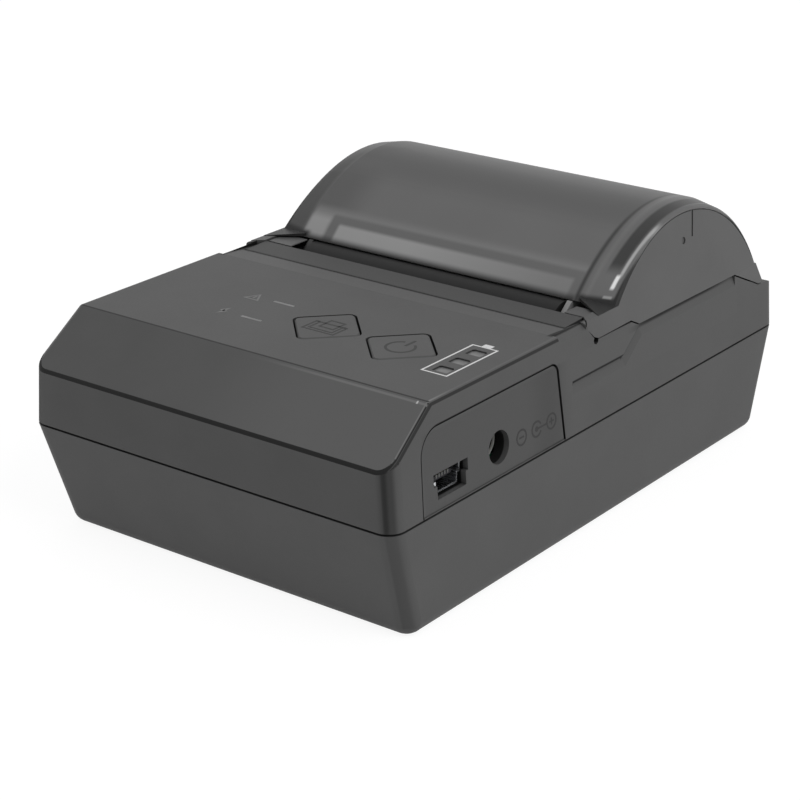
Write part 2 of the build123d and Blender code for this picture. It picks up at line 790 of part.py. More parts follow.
with BuildPart() as platen_bushings:
    for x in both_sides((arm_x[1], shaft_end)):
        rod(x, platen, bushing_r)
        rod(x, platen, journal_r + running, Mode.SUBTRACT)

# Gear train between the stepper and the platen
idler = beside(platen, module * platen_teeth, idler_angle)
motor = beside(idler, module * (idler_teeth + pinion_teeth) / 2, pinion_angle)
with BuildPart() as idler_gear:
    gear((-gear_x[1], -gear_x[0]), idler, platen_teeth, idler_angle + 180 + 180 / platen_teeth)
    gear((-pinion_x[1], -gear_x[1]), idler, idler_teeth, pinion_angle)
    rod((-pinion_x[1], -gear_x[0]), idler, idler_pin_r + running, Mode.SUBTRACT)

with BuildPart() as idler_pin:
    rod((-pinion_x[1] - 0.1, -plate_x[0]), idler, idler_pin_r)

with BuildPart() as motor_pinion:
    gear((-pinion_x[1], -pinion_x[0]), motor, pinion_teeth, pinion_angle + 180 + 180 / pinion_teeth)
    rod((-pinion_x[1], -pinion_x[0]), motor, motor_shaft_r, Mode.SUBTRACT)

with BuildPart() as motor_shaft:
    rod((-pinion_x[1], -30), motor, motor_shaft_r)

with BuildPart() as stepper_motor:
    rod((-plate_x[0], -motor_end_x), motor, motor_r)
    rod((-motor_end_x, -motor_end_x + 0.8), motor, 2.2)
    rod((-plate_x[0] - 1, -29.5), motor, motor_shaft_r + running, Mode.SUBTRACT)

# Frame of the mechanism, bent from sheet steel: each plate has an open seat for the platen's bushing
seat_y = (platen[0] - bushing_r - 0.1, platen[0] + bushing_r + 0.1)
with BuildPart() as mech_frame:
    for x in both_sides(plate_x):
        with BuildSketch(Plane.YZ.offset(x[0])) as plate:
            with Locations((frame_y[0], frame_z[0])):
                Rectangle(frame_y[1] - frame_y[0], frame_z[1] - frame_z[0], align=(Align.MIN, Align.MIN))
            chamfer(plate.vertices().sort_by(Axis.X)[:2], 2)
            with Locations(platen):
                Circle(bushing_r + 0.1, mode=Mode.SUBTRACT)
            Polygon(
                (seat_y[0], platen[1]),
                (seat_y[1], platen[1]),
                (seat_y[1] + 0.4, frame_z[1] + 0.2),
                (seat_y[0], frame_z[1] + 0.2),
                align=None,
                mode=Mode.SUBTRACT,
            )
            with Locations(head_pivot):
                Circle(head_pivot_r + running / 2, mode=Mode.SUBTRACT)
        extrude(amount=x[1] - x[0])
    block((-plate_x[0], plate_x[0]), (-10, 7), (frame_z[0], frame_z[0] + frame_sheet))
    block((-plate_x[0], plate_x[0]), cross_wall_y, (29, 37.6))
    for place in mech_screws_at:
        post(place, (frame_z[0] - 1, frame_z[0] + 2), mech_screw_r + 4 * screw_slack, Mode.SUBTRACT)
    rod((-plate_x[1], -plate_x[0]), idler, idler_pin_r, Mode.SUBTRACT)
    rod((-plate_x[1], -plate_x[0]), motor, 1.2, Mode.SUBTRACT)

# Thermal head, which leans on the platen under two arched leaf springs
eye_x = (21.0, 27.0)
with BuildPart() as head_heatsink:
    block((-head_x, head_x), (head_back_y, head_plate_y), head_z)
    for x in both_sides(eye_x):
        rod(x, head_pivot, 2.0)
    rod((-head_x, head_x), head_pivot, head_pivot_r + running, Mode.SUBTRACT)

with BuildPart() as thermal_head:
    block((-head_x, head_x), (head_plate_y, head_front_y), (29.5, head_z[1] - 0.3))
    chamfer(thermal_head.edges().filter_by(Axis.X).group_by(Axis.Z)[-1].sort_by(Axis.Y)[-1], 0.5)

with BuildPart() as head_pivot_pin:
    rod((-34, 34), head_pivot, head_pivot_r)

leaf_z = (30.0, 33.5, 37.0)
leaf_crown_y = -9.7
leaf_sheet = 0.35
leaf_width = 5.0
with BuildPart() as head_springs:
    for x in (-14, 14):
        with BuildSketch(Plane.YZ.offset(x - leaf_width / 2)):
            with BuildLine():
                back = ThreePointArc(
                    (head_back_y, leaf_z[0]),
                    (leaf_crown_y, leaf_z[1]),
                    (head_back_y, leaf_z[2]),
                )
                front = ThreePointArc(
                    (head_back_y, leaf_z[0] + leaf_sheet),
                    (leaf_crown_y + leaf_sheet, leaf_z[1]),
                    (head_back_y, leaf_z[2] - leaf_sheet),
                )
                Line(back @ 0, front @ 0)
                Line(back @ 1, front @ 1)
            make_face()
        extrude(amount=leaf_width)

# Paper path
sensor_x = 4.0
sensor_y = (1.0, 4.6)
with BuildPart() as paper_guide:
    for x, start, turn in ((platen_half, 235, 95), (plate_x[0], 255, 30)):
        with BuildSketch(Plane.YZ.offset(-x)):
            with BuildLine():
                outer_arc = CenterArc(platen, platen_r + 2.0, start, turn)
                inner_arc = CenterArc(platen, platen_r + 1.0, start, turn)
                Line(outer_arc @ 0, inner_arc @ 0)
                Line(outer_arc @ 1, inner_arc @ 1)
            make_face()
        extrude(amount=2 * x)
    block((-sensor_x, sensor_x), sensor_y, (28.4, 29.7))

with BuildPart() as paper_sensor:
    block((-sensor_x + 1, sensor_x - 1), sensor_y, (26.6, 28.4))

# Roll trough
with BuildPart() as paper_well:
    with BuildSketch(Plane.YZ.offset(-well_half - well_wall)):
        with Locations(well):
            Circle(well_r + well_wall)
            Rectangle(2 * (well_r + well_wall), flange_z[1] - well[1], align=(Align.CENTER, Align.MIN))
        with Locations((well[0], flange_z[1])):
            Rectangle(80, 40, align=(Align.CENTER, Align.MIN), mode=Mode.SUBTRACT)
    extrude(amount=2 * (well_half + well_wall))
    block((-flange_x, flange_x), flange_y, flange_z)
    with BuildSketch(Plane.YZ.offset(-well_half)):
        with Locations(well):
            Circle(well_r)
            Rectangle(2 * well_r, 20, align=(Align.CENTER, Align.MIN))
    extrude(amount=2 * well_half, mode=Mode.SUBTRACT)
    for place in well_screws_at:
        post(place, (flange_z[0] - 1, flange_z[1] + 1), mech_screw_r + 4 * screw_slack, Mode.SUBTRACT)

# Battery, its contacts and its door
with BuildPart() as battery_pack:
    block((-battery_x, battery_x), battery_y, battery_z)
    fillet(battery_pack.edges().filter_by(Axis.Y), battery_round)
    block((-8, 8), (battery_y[1] - 0.6, battery_y[1] + 1), (5, 20), Mode.SUBTRACT)

with BuildPart() as battery_contacts:
    for x in (-6, 0, 6):
        block((x - 1, x + 1), (bay_y[1] - 0.3, bay_y[1]), (6, 17))
        block((x - 1, x + 1), (bay_y[1] - 0.5, bay_y[1] - 0.3), (9, 12))

with BuildPart() as battery_door:
    door_span = (door_y[0] + 0.7, door_y[1] - door_travel - 0.5)
    block((-door_x + gap, door_x - gap), door_span, door_z)
    for x in both_sides((door_x - 0.5, door_x + door_tongue)):
        block(x, door_span, (groove_z[0] + 0.15, door_z[1]))
    for y in (-49, -47, -45):
        block((-8, 8), (y, y + 0.9), (0, 0.5), Mode.SUBTRACT)

# Boards
with BuildPart() as main_board:
    block(board_x, board_y, board_z)
    for place in board_screws_at:
        post(place, (board_z[0] - 1, board_z[1] + 1), board_screw_r + 6 * screw_slack, Mode.SUBTRACT)

chips = ((-16, -50, 10, 1.4), (8, -40, 7, 1.0), (-24, -38, 6, 1.6), (20, -52, 5, 1.2))
with BuildPart() as board_chips:
    for x, y, size, tall in chips:
        block((x - size / 2, x + size / 2), (y - size / 2, y + size / 2), (board_z[1], board_z[1] + tall))

with BuildPart() as cable_socket:
    block((-10, 10), (-28.5, -25.5), (board_z[1], board_z[1] + 1.6))

cable_path = ((-25.5, 25.3), (-17, 25.3), (-10.5, 28.3), (-4.9, 28.3))
with BuildPart() as head_cable:
    profile_bar((-9, 9), [*cable_path, *[(y, z + 0.3) for y, z in cable_path[::-1]]])

with BuildPart() as key_board:
    block(key_board_x, key_board_y, key_board_z)
    for place in key_screws_at:
        post(place, (key_board_z[0] - 1, key_board_z[1] + 1), board_screw_r + 6 * screw_slack, Mode.SUBTRACT)

with BuildPart() as board_link:
    block((-9, 1), (-46.0, -45.7), (board_z[1], key_board_z[0]))

plunger_r = 1.5
plunger_foot_z = 36.9
with BuildPart() as tact_switches:
    for x, y in keys.values():
        block((x - 3, x + 3), (y - 3, y + 3), (key_board_z[1], 37.7))
        post((x, y), (36.2, 38), plunger_r + 0.1, Mode.SUBTRACT)

with BuildPart() as board_screws:
    for place in board_screws_at:
        screw(place, board_z[1], board_z[1] - 4.5, board_screw_r)
    for place in key_screws_at:
        screw(place, key_board_z[0], key_board_z[0] + 4.5, board_screw_r)

# Data port and power inlet
with BuildPart() as usb_shell:
    with BuildSketch(Plane.YZ.offset(usb_back_x)):
        with Locations((usb_y, usb_z + 0.9)):
            Rectangle(7.7, 2.1)
        with Locations((usb_y, usb_z - 1.05)):
            Rectangle(6.4, 1.8)
        offset(amount=-0.35, kind=Kind.INTERSECTION, mode=Mode.SUBTRACT)
    extrude(amount=usb_front_x - usb_back_x)
    block((usb_back_x, usb_back_x + 0.4), (usb_y - 3.5, usb_y + 3.5), (usb_z - 1.6, usb_z + 1.6))

with BuildPart() as usb_tongue:
    block((usb_back_x + 0.4, usb_front_x - 0.8), (usb_y - 2.6, usb_y + 2.6), (usb_z - 0.1, usb_z + 0.7))

with BuildPart() as usb_contacts:
    for i in range(5):
        y = usb_y + 0.8 * (i - 2)
        block((usb_back_x + 1, usb_front_x - 1), (y - 0.2, y + 0.2), (usb_z + 0.7, usb_z + 0.85))

with BuildPart() as dc_jack_body:
    block((26, dc_front_x), (-38.2, -29), (board_z[1], 31.8))
    rod((28, dc_front_x + 1), (dc_y, dc_z), dc_bore_r, Mode.SUBTRACT)

with BuildPart() as dc_jack_pin:
    rod((28, dc_front_x - 0.2), (dc_y, dc_z), 1.0)
    chamfer(dc_jack_pin.edges().sort_by(Axis.X)[-1], 0.4)

# Keys, each a flanged diamond with its plunger
key_parts = {}
for name, centre in keys.items():
    with BuildPart() as cap:
        for tall, grow in ((0.8, 0.8), (deck_z + 0.05 - key_flange_z, 0)):
            with BuildSketch(Plane.XY.offset(key_flange_z)) as outline:
                diamond(centre, grow)
                fillet(outline.vertices(), key_round)
            extrude(amount=tall)
        chamfer(cap.faces().sort_by(Axis.Z)[-1].edges(), 0.25)
    with BuildPart() as plunger:
        post(centre, (plunger_foot_z, key_flange_z), plunger_r)
    key_parts[name + "_button"] = cap
    key_parts[name + "_plunger"] = plunger

# Lenses of the gauge and the status lights, each with a flange under the deck
flange_foot_z = deck_z - wall - 0.9
lens_slack = 0.05
lens_flange = 0.5
with BuildPart() as gauge_lenses:
    for y in gauge_y:
        for grow, z in ((-lens_slack, deck_z - 0.29), (lens_flange, deck_z - wall)):
            with BuildSketch(Plane.XY.offset(flange_foot_z)) as lens:
                with Locations(((gauge_x[0] + gauge_x[1]) / 2, y)):
                    Rectangle(gauge_x[1] - gauge_x[0] + 2 * grow, 2 * (gauge_half_y + grow))
                chamfer(lens.vertices().group_by(Axis.Y)[-1], gauge_corner)
            extrude(amount=z - flange_foot_z)

with BuildPart() as status_light_pipes:
    for x, y in lights:
        for grow, z in ((-lens_slack, deck_z), (lens_flange, deck_z - wall)):
            half_x = light_half[0] + grow
            half_y = light_half[1] + grow
            block((x - half_x, x + half_x), (y - half_y, y + half_y), (flange_foot_z, z))

# Pins and screws
with BuildPart() as hinge_pins:
    for x in both_sides((knuckle_x[0] - 2, knuckle_x[1] + 2)):
        rod(x, hinge, hinge_pin_r)

with BuildPart() as case_screws:
    for place in case_screws_at:
        screw(place, counterbore_z, 20, case_screw_r)

with BuildPart() as mech_screws:
    for place in mech_screws_at:
        screw(place, frame_z[0] + frame_sheet, frame_z[0] - 4, mech_screw_r)

with BuildPart() as well_screws:
    for place in well_screws_at:
        screw(place, flange_z[1], flange_z[1] - 6.5, mech_screw_r)

with BuildPart() as bracket_screws:
    for place in bracket_screws_at:
        screw(place, ear_z[1], boss_z[0] + 0.5, board_screw_r)

parts = {
    "lower_case": lower_case,
    "upper_case": upper_case,
    "exit_bar": exit_bar,
    "tear_bar": tear_bar,
    "port_panel": port_panel,
    "cover_window": cover_window,
    "cover_frame": cover_frame,
    "platen_bracket": platen_bracket,
    "platen_shaft": platen_shaft,
    "platen_rubber": platen_rubber,
    "platen_gear": platen_gear,
    "platen_bushings": platen_bushings,
    "idler_gear": idler_gear,
    "idler_pin": idler_pin,
    "motor_pinion": motor_pinion,
    "motor_shaft": motor_shaft,
    "stepper_motor": stepper_motor,
    "mech_frame": mech_frame,
    "head_heatsink": head_heatsink,
    "thermal_head": thermal_head,
    "head_pivot_pin": head_pivot_pin,
    "head_springs": head_springs,
    "paper_guide": paper_guide,
    "paper_sensor": paper_sensor,
    "paper_well": paper_well,
    "battery_pack": battery_pack,
    "battery_contacts": battery_contacts,
    "battery_door": battery_door,
    "main_board": main_board,
    "board_chips": board_chips,
    "cable_socket": cable_socket,
    "head_cable": head_cable,
    "key_board": key_board,
    "board_link": board_link,
    "tact_switches": tact_switches,
    "board_screws": board_screws,
    "usb_shell": usb_shell,
    "usb_tongue": usb_tongue,
    "usb_contacts": usb_contacts,
    "dc_jack_body": dc_jack_body,
    "dc_jack_pin": dc_jack_pin,
    "gauge_lenses": gauge_lenses,
    "status_light_pipes": status_light_pipes,
    "hinge_pins": hinge_pins,
    "case_screws": case_screws,
    "mech_screws": mech_screws,
    "well_screws": well_screws,
    "bracket_screws": bracket_screws,
    **key_parts,
}
for name, piece in parts.items():
    piece.part.label = name
    export_step(piece.part, f"parts/{name}.step")
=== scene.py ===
import json
import math

import bpy
from mathutils import Matrix, Vector


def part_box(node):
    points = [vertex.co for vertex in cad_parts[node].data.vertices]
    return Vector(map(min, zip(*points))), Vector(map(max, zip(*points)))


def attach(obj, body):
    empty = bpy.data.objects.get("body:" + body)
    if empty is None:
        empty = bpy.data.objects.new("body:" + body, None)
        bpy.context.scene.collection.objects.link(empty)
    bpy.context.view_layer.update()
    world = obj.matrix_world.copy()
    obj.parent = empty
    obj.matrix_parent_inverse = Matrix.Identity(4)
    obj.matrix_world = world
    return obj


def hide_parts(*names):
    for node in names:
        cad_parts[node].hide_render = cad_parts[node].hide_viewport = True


# Portable receipt printer, in metres in the row frame. Sizes below are in millimetres and made metres by MM.
MM = 0.001

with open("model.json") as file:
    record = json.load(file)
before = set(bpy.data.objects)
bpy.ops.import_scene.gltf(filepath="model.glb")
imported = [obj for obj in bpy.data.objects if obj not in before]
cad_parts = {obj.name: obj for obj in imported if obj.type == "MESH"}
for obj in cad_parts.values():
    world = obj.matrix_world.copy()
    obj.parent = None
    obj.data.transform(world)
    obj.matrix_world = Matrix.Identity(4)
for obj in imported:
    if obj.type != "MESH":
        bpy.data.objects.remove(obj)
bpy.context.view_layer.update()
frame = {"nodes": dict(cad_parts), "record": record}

# Heights of the deck and of the keys, and the y of the deck's front edge
DECK_Z = 41.24
KEY_TOP_Z = 41.29
RIDGE_Y = -52.0

# Side wall above the parting line: its x at the height SIDE_Z, and how far it leans in for each mm up
SIDE_X = 41.0
SIDE_Z = 21.8
SIDE_LEAN = 0.075

# Port panel: its depth in the wall and its top. Each end has the y of its foot, its lean, the way inward,
# the radius of its corner, and the half of the panel in y that it bounds
PANEL_RECESS = 0.15
PANEL_TOP_Z = 36.7
PANEL_ENDS = {
    "front_rim": (-55.5, 0.0276, 1, 4.5, (None, -35)),
    "rear_rim": (-13.8, -0.1103, -1, 1.6, (-35, None)),
}

# Slanting run of the finger scoop: the unit normal of its line in y and z, and the line's distance along it
SCOOP_RISE = 0.819
SCOOP_RUN = 0.574
SCOOP_AT = 22.49

# Height of the print head's line of dots
HEAD_LINE_Z = 36.1

# Middle and size of the lip under the window, clear of the roller by 0.1
LIP_AT = (0, 4.3, 41.07)
LIP_SIZE = (58.4, 0.8, 0.34)

# Middle and size of the left and the right web beside the roller, which close the ends of the slot
WEBS = (
    ((-34.0, 0.5, 40.82), (5.6, 5.2, 0.26)),
    ((34.8, -0.2, 40.82), (4.2, 4.0, 0.26)),
)

# Angle up to which neighbouring faces are shaded as one smooth surface
SMOOTH_ANGLE = math.radians(35)


def linear(colour):
    """Turns an sRGB hex colour into the linear RGBA that a shader takes."""
    channels = [int(colour[i : i + 2], 16) / 255 for i in (1, 3, 5)]
    return [c / 12.92 if c <= 0.04045 else ((c + 0.055) / 1.055) ** 2.4 for c in channels] + [1.0]


def add_node(tree, kind, inputs=None, **settings):
    """Adds a shader node. Each of inputs is a plain value or another node's output to link."""
    made = tree.nodes.new("ShaderNode" + kind)
    for name, value in settings.items():
        setattr(made, name, value)
    for socket, value in (inputs or {}).items():
        if isinstance(value, bpy.types.NodeSocket):
            tree.links.new(value, made.inputs[socket])
        else:
            made.inputs[socket].default_value = value
    return made


def new_finish(name, colour, roughness, metallic=0.0, **sockets):
    """Starts a material and returns it with its node tree and shader."""
    material = bpy.data.materials.new(name)
    material.use_nodes = True
    shader = material.node_tree.nodes["Principled BSDF"]
    shader.inputs["Base Color"].default_value = linear(colour)
    shader.inputs["Roughness"].default_value = roughness
    shader.inputs["Metallic"].default_value = metallic
    for socket, value in sockets.items():
        shader.inputs[socket.replace("_", " ")].default_value = value
    material.diffuse_color = linear(colour)
    return material, material.node_tree, shader


def blend_colour(tree, mask, under, over):
    """Lays the colour over on the colour under, as far as mask says. Each is a hex colour or an output."""
    colours = [linear(c) if isinstance(c, str) else c for c in (under, over)]
    mixed = add_node(tree, "Mix", {"Factor": mask, "A": colours[0], "B": colours[1]}, data_type="RGBA")
    return mixed.outputs["Result"]


def overlap(tree, *masks):
    """Multiplies masks, so that only what all of them hold is left."""
    held = masks[0]
    for mask in masks[1:]:
        held = add_node(tree, "Math", {0: held, 1: mask}, operation="MULTIPLY").outputs[0]
    return held


def soft_band(tree, value, unit, low, high, blur):
    """Is 1 where value lies between low and high, and fades over blur at both. None leaves an end open."""
    ends = []
    for edge, start in ((low, 0.0), (high, 1.0)):
        if edge is not None:
            fade = {
                "Value": value,
                "From Min": (edge - blur / 2) * unit,
                "From Max": (edge + blur / 2) * unit,
                "To Min": start,
                "To Max": 1.0 - start,
            }
            ends.append(add_node(tree, "MapRange", fade, interpolation_type="SMOOTHSTEP").outputs["Result"])
    return overlap(tree, *ends)


def find_measures(tree):
    """Gives what bands are measured on, each with its unit: the object's own x, y and z, its side distance
    from the middle plane, and the same parts of its normal as nx, ny, nz and nside."""
    found = {}
    for output, prefix, unit in (("Object", "", MM), ("Normal", "n", 1)):
        vector = add_node(tree, "TexCoord").outputs[output]
        axes = add_node(tree, "SeparateXYZ", {"Vector": vector}).outputs
        for axis in "XYZ":
            found[prefix + axis.lower()] = (axes[axis], unit)
        side = add_node(tree, "Math", {0: axes["X"]}, operation="ABSOLUTE").outputs[0]
        found[prefix + "side"] = (side, unit)
    return found


def paint(tree, measures, tone, layers):
    """Lays layers of paint on a tone, one after another. Each is a colour and the bands that bound it, and
    a band is the name of a measure with its low, high and blur."""
    made = {}
    for colour, *bands in layers:
        for band in bands:
            if band not in made:
                made[band] = soft_band(tree, *measures[band[0]], *band[1:])
        tone = blend_colour(tree, overlap(tree, *[made[band] for band in bands]), tone, colour)
    return tone


def crease_shade(tree, colour, reach, depth):
    """Paints shade into a colour in seams, holes and under edges, as far as reach, down to depth of its tone.
    """
    open_sky = add_node(tree, "AmbientOcclusion", {"Distance": reach * MM}, samples=8).outputs["AO"]
    level = add_node(tree, "MapRange", {"Value": open_sky, "From Min": 0.1, "From Max": 0.8, "To Min": depth})
    shaded = add_node(
        tree,
        "Mix",
        {"Factor": 1.0, "A": colour, "B": level.outputs["Result"]},
        data_type="RGBA",
        blend_type="MULTIPLY",
    )
    return shaded.outputs["Result"]


def painted_edge_reflections(tree, measures, tone):
    """Painted reflections on the polished rounds between the case's gritty faces: the room's dark side
    painted as thin lines, with painted light beside them and on the slope.
    """
    ahead = ("ny", None, -0.25, 0.1)
    middle = ("nside", None, 0.45, 0.2)
    upward = ("nz", 0.22, None, 0.1)
    upright = ("nz", -0.4, 0.22, 0.1)
    corner = ("nside", 0.4, 0.88, 0.16)
    bevel = ("nside", 0.1, 0.42, 0.1)
    slope = (ahead, ("nz", 0.7, 0.9, 0.05))
    layers = (
        # Painted light on the slope, paler towards the right
        ("#5c5c5c", *slope, ("x", 5, None, 30)),
        # Painted reflection on the upright corners, darker above the parting line
        ("#494949", corner, upright),
        ("#383838", corner, upright, ("z", SIDE_Z, None, 0.1)),
        # Painted reflections on the rounds beside the deck and the slope: a light line, brighter on the
        # slope, and a dark one outside it
        ("#5e5e5e", bevel, upward),
        ("#767676", bevel, upward, ("y", None, RIDGE_Y + 4, 8)),
        ("#262626", ("nside", 0.66, 0.985, 0.06), upward),
        # Painted dark reflection on the round at the foot of the slope
        ("#121212", ahead, ("nz", 0.04, 0.775, 0.06), ("nside", None, 0.62, 0.2)),
        # Painted reflections on the front edge of the deck: a dark round, a light line before it, and a
        # painted highlight near the corner
        ("#343434", ("nz", 0.87, 0.99, 0.02), ("ny", -0.5, -0.1, 0.1), middle),
        ("#707070", *slope, ("y", RIDGE_Y - 0.75, RIDGE_Y - 0.4, 0.2), ("x", 12, None, 24)),
        ("#c0c0c0", *slope, ("y", RIDGE_Y - 0.8, RIDGE_Y - 0.35, 0.2), ("x", 37.1, 37.4, 0.2)),
    )
    return paint(tree, measures, tone, layers)


def wall_depth(tree, measures):
    """How deep a place lies behind the leaning side wall."""
    wall = {
        "Value": measures["z"][0],
        "From Min": SIDE_Z * MM,
        "From Max": (SIDE_Z + 1) * MM,
        "To Min": SIDE_X * MM,
        "To Max": (SIDE_X - SIDE_LEAN) * MM,
    }
    wall_x = add_node(tree, "MapRange", wall, clamp=False).outputs["Result"]
    return add_node(tree, "Math", {0: wall_x, 1: measures["side"][0]}, operation="SUBTRACT").outputs[0], MM


def scoop_distance(tree, measures):
    """Distance along the normal of the scoop's slanting run, which lies at SCOOP_AT."""
    rise = add_node(tree, "Math", {0: measures["z"][0], 1: SCOOP_RISE}, operation="MULTIPLY").outputs[0]
    run = add_node(tree, "Math", {0: measures["y"][0], 1: SCOOP_RUN}, operation="MULTIPLY").outputs[0]
    return add_node(tree, "Math", {0: rise, 1: run}, operation="SUBTRACT").outputs[0], MM


def rim_distance(tree, measures, foot_y, lean, inward, radius):
    """Distance from a line that runs inside the port panel's edge, as far in as the radius of its corner.
    The seam round the panel lies where this distance is that radius."""
    down = add_node(tree, "Math", {0: PANEL_TOP_Z * MM, 1: measures["z"][0]}, operation="SUBTRACT").outputs[0]
    end = {0: measures["z"][0], 1: lean, 2: (foot_y - SIDE_Z * lean) * MM}
    end_y = add_node(tree, "Math", end, operation="MULTIPLY_ADD").outputs[0]
    along = add_node(tree, "Math", {0: measures["y"][0], 1: end_y}, operation="SUBTRACT").outputs[0]
    past = []
    for distance, way in ((along, inward), (down, 1)):
        left = add_node(tree, "Math", {0: distance, 1: -way, 2: radius * MM}, operation="MULTIPLY_ADD")
        past.append(add_node(tree, "Math", {0: left.outputs[0], 1: 0.0}, operation="MAXIMUM").outputs[0])
    corner = add_node(tree, "CombineXYZ", {"X": past[0], "Y": past[1]}).outputs["Vector"]
    return add_node(tree, "VectorMath", {0: corner}, operation="LENGTH").outputs["Value"], MM


def case_shadows(tree, measures, tone):
    """Painted shade in the case's own recesses: the ports, the panel's seam, the finger scoop and the deck's
    seam.
    """
    measures["depth"] = wall_depth(tree, measures)
    measures["scoop"] = scoop_distance(tree, measures)
    wall = ("depth", None, 1.2, 0.2)
    right = ("x", 30, None, 1)
    plate = (wall, right, ("y", -55, None, 1), ("z", 22, 36.4, 1))
    deck = (("nz", 0.8, None, 0.1), ("z", 40.5, 42, 0.2), ("side", None, 38.0, 0.4))
    # Painted shade inside the ports, and on the panel's plate, darker towards its rear end
    layers = [
        ("#141414", ("depth", 0.45, 5, 0.3), ("y", -57, -13, 0.2), ("z", 21.9, 37.2, 0.2)),
        ("#4d4d4d", *plate, ("y", None, -14.4, 0.5)),
        ("#464646", *plate, ("y", -22, -14.4, 8)),
    ]
    # Painted shade in the seam round the panel
    for rim, (foot_y, lean, inward, radius, half) in PANEL_ENDS.items():
        measures[rim] = rim_distance(tree, measures, foot_y, lean, inward, radius)
        seam = (rim, radius - 0.05, radius + 0.4, 0.15)
        layers.append(("#0a0a0a", wall, right, seam, ("y", *half, 0.1), ("z", SIDE_Z + 0.2, None, 0.1)))
    layers += [
        # The scoop's slanting floor is painted back to the wall's tone, and only a painted shade line under
        # its upper edge is dark
        ("#545454", wall, ("y", -11, 48.5, 0.3), ("z", 28, 36.5, 0.3)),
        ("#0a0a0a", wall, ("y", -10.7, 6.4, 0.2), ("z", 31.25, 32.0, 0.2)),
        ("#1a1a1a", wall, ("y", 11.9, 43, 10), ("z", 35.25, 36.3, 0.5)),
        ("#1c1c1c", wall, ("y", 6.0, 12.3, 0.3), ("scoop", SCOOP_AT - 0.6, SCOOP_AT, 0.3)),
        # Painted light on the deck's ramp, and painted shade on the strip behind it, the seam between them
        # and the step at the deck's side
        ("#585858", *deck, ("y", -14.4, -9.5, 0.4)),
        ("#464646", *deck, ("y", -8.9, -2, 0.2)),
        ("#2c2c2c", *deck, ("y", -9.5, -8.5, 0.4)),
        ("#161616", ("side", 37.4, 38.4, 0.3), ("y", -15, -3, 1), ("z", 40.2, 42, 0.2)),
    ]
    return paint(tree, measures, tone, layers)


def moulded_plastic(name, colour, shade, roughness, grit, depth, case=False):
    """Injection-moulded plastic: the mould's sparked grit as a fine bump, and a faint cloudy flow of the
    pigment. Its seams and holes get painted shade, and the case has its own painted edge reflections and
    painted shade. The size of the grit and the depth of its bump are in millimetres."""
    material, tree, shader = new_finish(name, colour, roughness, Specular_IOR_Level=0.2)
    place = add_node(tree, "TexCoord").outputs["Object"]
    clouds = {"Vector": place, "Scale": 1 / (14 * MM), "Detail": 3.0}
    flow = add_node(tree, "TexNoise", clouds).outputs["Fac"]
    ramp = add_node(tree, "MapRange", {"Value": flow, "From Min": 0.35, "From Max": 0.65}).outputs["Result"]
    tone = blend_colour(tree, ramp, colour, shade)
    if case:
        # The case gets painted reflections on its edges and painted shade in its recesses
        measures = find_measures(tree)
        tone = case_shadows(tree, measures, painted_edge_reflections(tree, measures, tone))
    tree.links.new(crease_shade(tree, tone, reach=2.2, depth=0.35), shader.inputs["Base Color"])
    specks = {"Vector": place, "Scale": 1 / (grit * MM), "Detail": 2.0}
    speck = add_node(tree, "TexNoise", specks).outputs["Fac"]
    spread = {"Value": speck, "To Min": roughness - 0.06, "To Max": roughness + 0.06}
    tree.links.new(add_node(tree, "MapRange", spread).outputs["Result"], shader.inputs["Roughness"])
    bump = add_node(tree, "Bump", {"Height": speck, "Distance": depth * MM, "Strength": 1.0})
    tree.links.new(bump.outputs["Normal"], shader.inputs["Normal"])
    return material


def worked_metal(name, colour, roughness, grain, depth):
    """Rolled, drawn or turned metal: fine streaks along the way it was worked. The streaks' grain
    and the depth of its bump are in millimetres."""
    material, tree, shader = new_finish(name, colour, roughness, metallic=1.0)
    place = add_node(tree, "TexCoord").outputs["Object"]
    drawn = add_node(tree, "Mapping", {"Vector": place, "Scale": (0.06, 1.0, 1.0)}).outputs["Vector"]
    streaks = {"Vector": drawn, "Scale": 1 / (grain * MM), "Detail": 2.0}
    streak = add_node(tree, "TexNoise", streaks).outputs["Fac"]
    spread = {"Value": streak, "To Min": roughness * 0.8, "To Max": roughness * 1.25}
    tree.links.new(add_node(tree, "MapRange", spread).outputs["Result"], shader.inputs["Roughness"])
    bump = add_node(tree, "Bump", {"Height": streak, "Distance": depth * MM, "Strength": 1.0})
    tree.links.new(bump.outputs["Normal"], shader.inputs["Normal"])
    return material


# ABS case: matt mid grey with the mould's fine sparked grit, with painted reflections darker on its rounded
# edges
case_abs = moulded_plastic("moulded_grey_abs", "#545454", "#515151", 0.55, 0.35, 0.012, case=True)
# ABS cover frame: the same plastic from another mould, a little paler and smoother
cover_abs = moulded_plastic("moulded_pale_grey_abs", "#5b5b5b", "#575757", 0.45, 0.35, 0.008)
# Silicone keys: the case's grey, softer and a little more matt
key_silicone = moulded_plastic("moulded_grey_silicone", "#5a5a5a", "#575757", 0.62, 0.25, 0.006)
# Acetal bushings: black and slightly waxy
acetal = moulded_plastic("turned_black_acetal", "#1e1e1f", "#1a1a1b", 0.4, 0.5, 0.004)
# Nylon gears: dark grey, filled with glass, with a dry and even surface
gear_nylon = moulded_plastic("moulded_grey_nylon", "#3f3f40", "#39393a", 0.5, 0.5, 0.006)
# Epoxy of the chips and sockets: near black, even and dull
black_epoxy = moulded_plastic("moulded_black_epoxy", "#232326", "#1f1f22", 0.5, 0.3, 0.004)
# Sheet steel of the mechanism, zinc plated: pale grey with rolled streaks
plated_steel = worked_metal("zinc_plated_steel", "#b9bbbd", 0.38, 0.3, 0.0002)
# Turned shafts and pins: bright, with fine rings
turned_steel = worked_metal("turned_steel", "#c4c6c9", 0.26, 0.2, 0.0004)
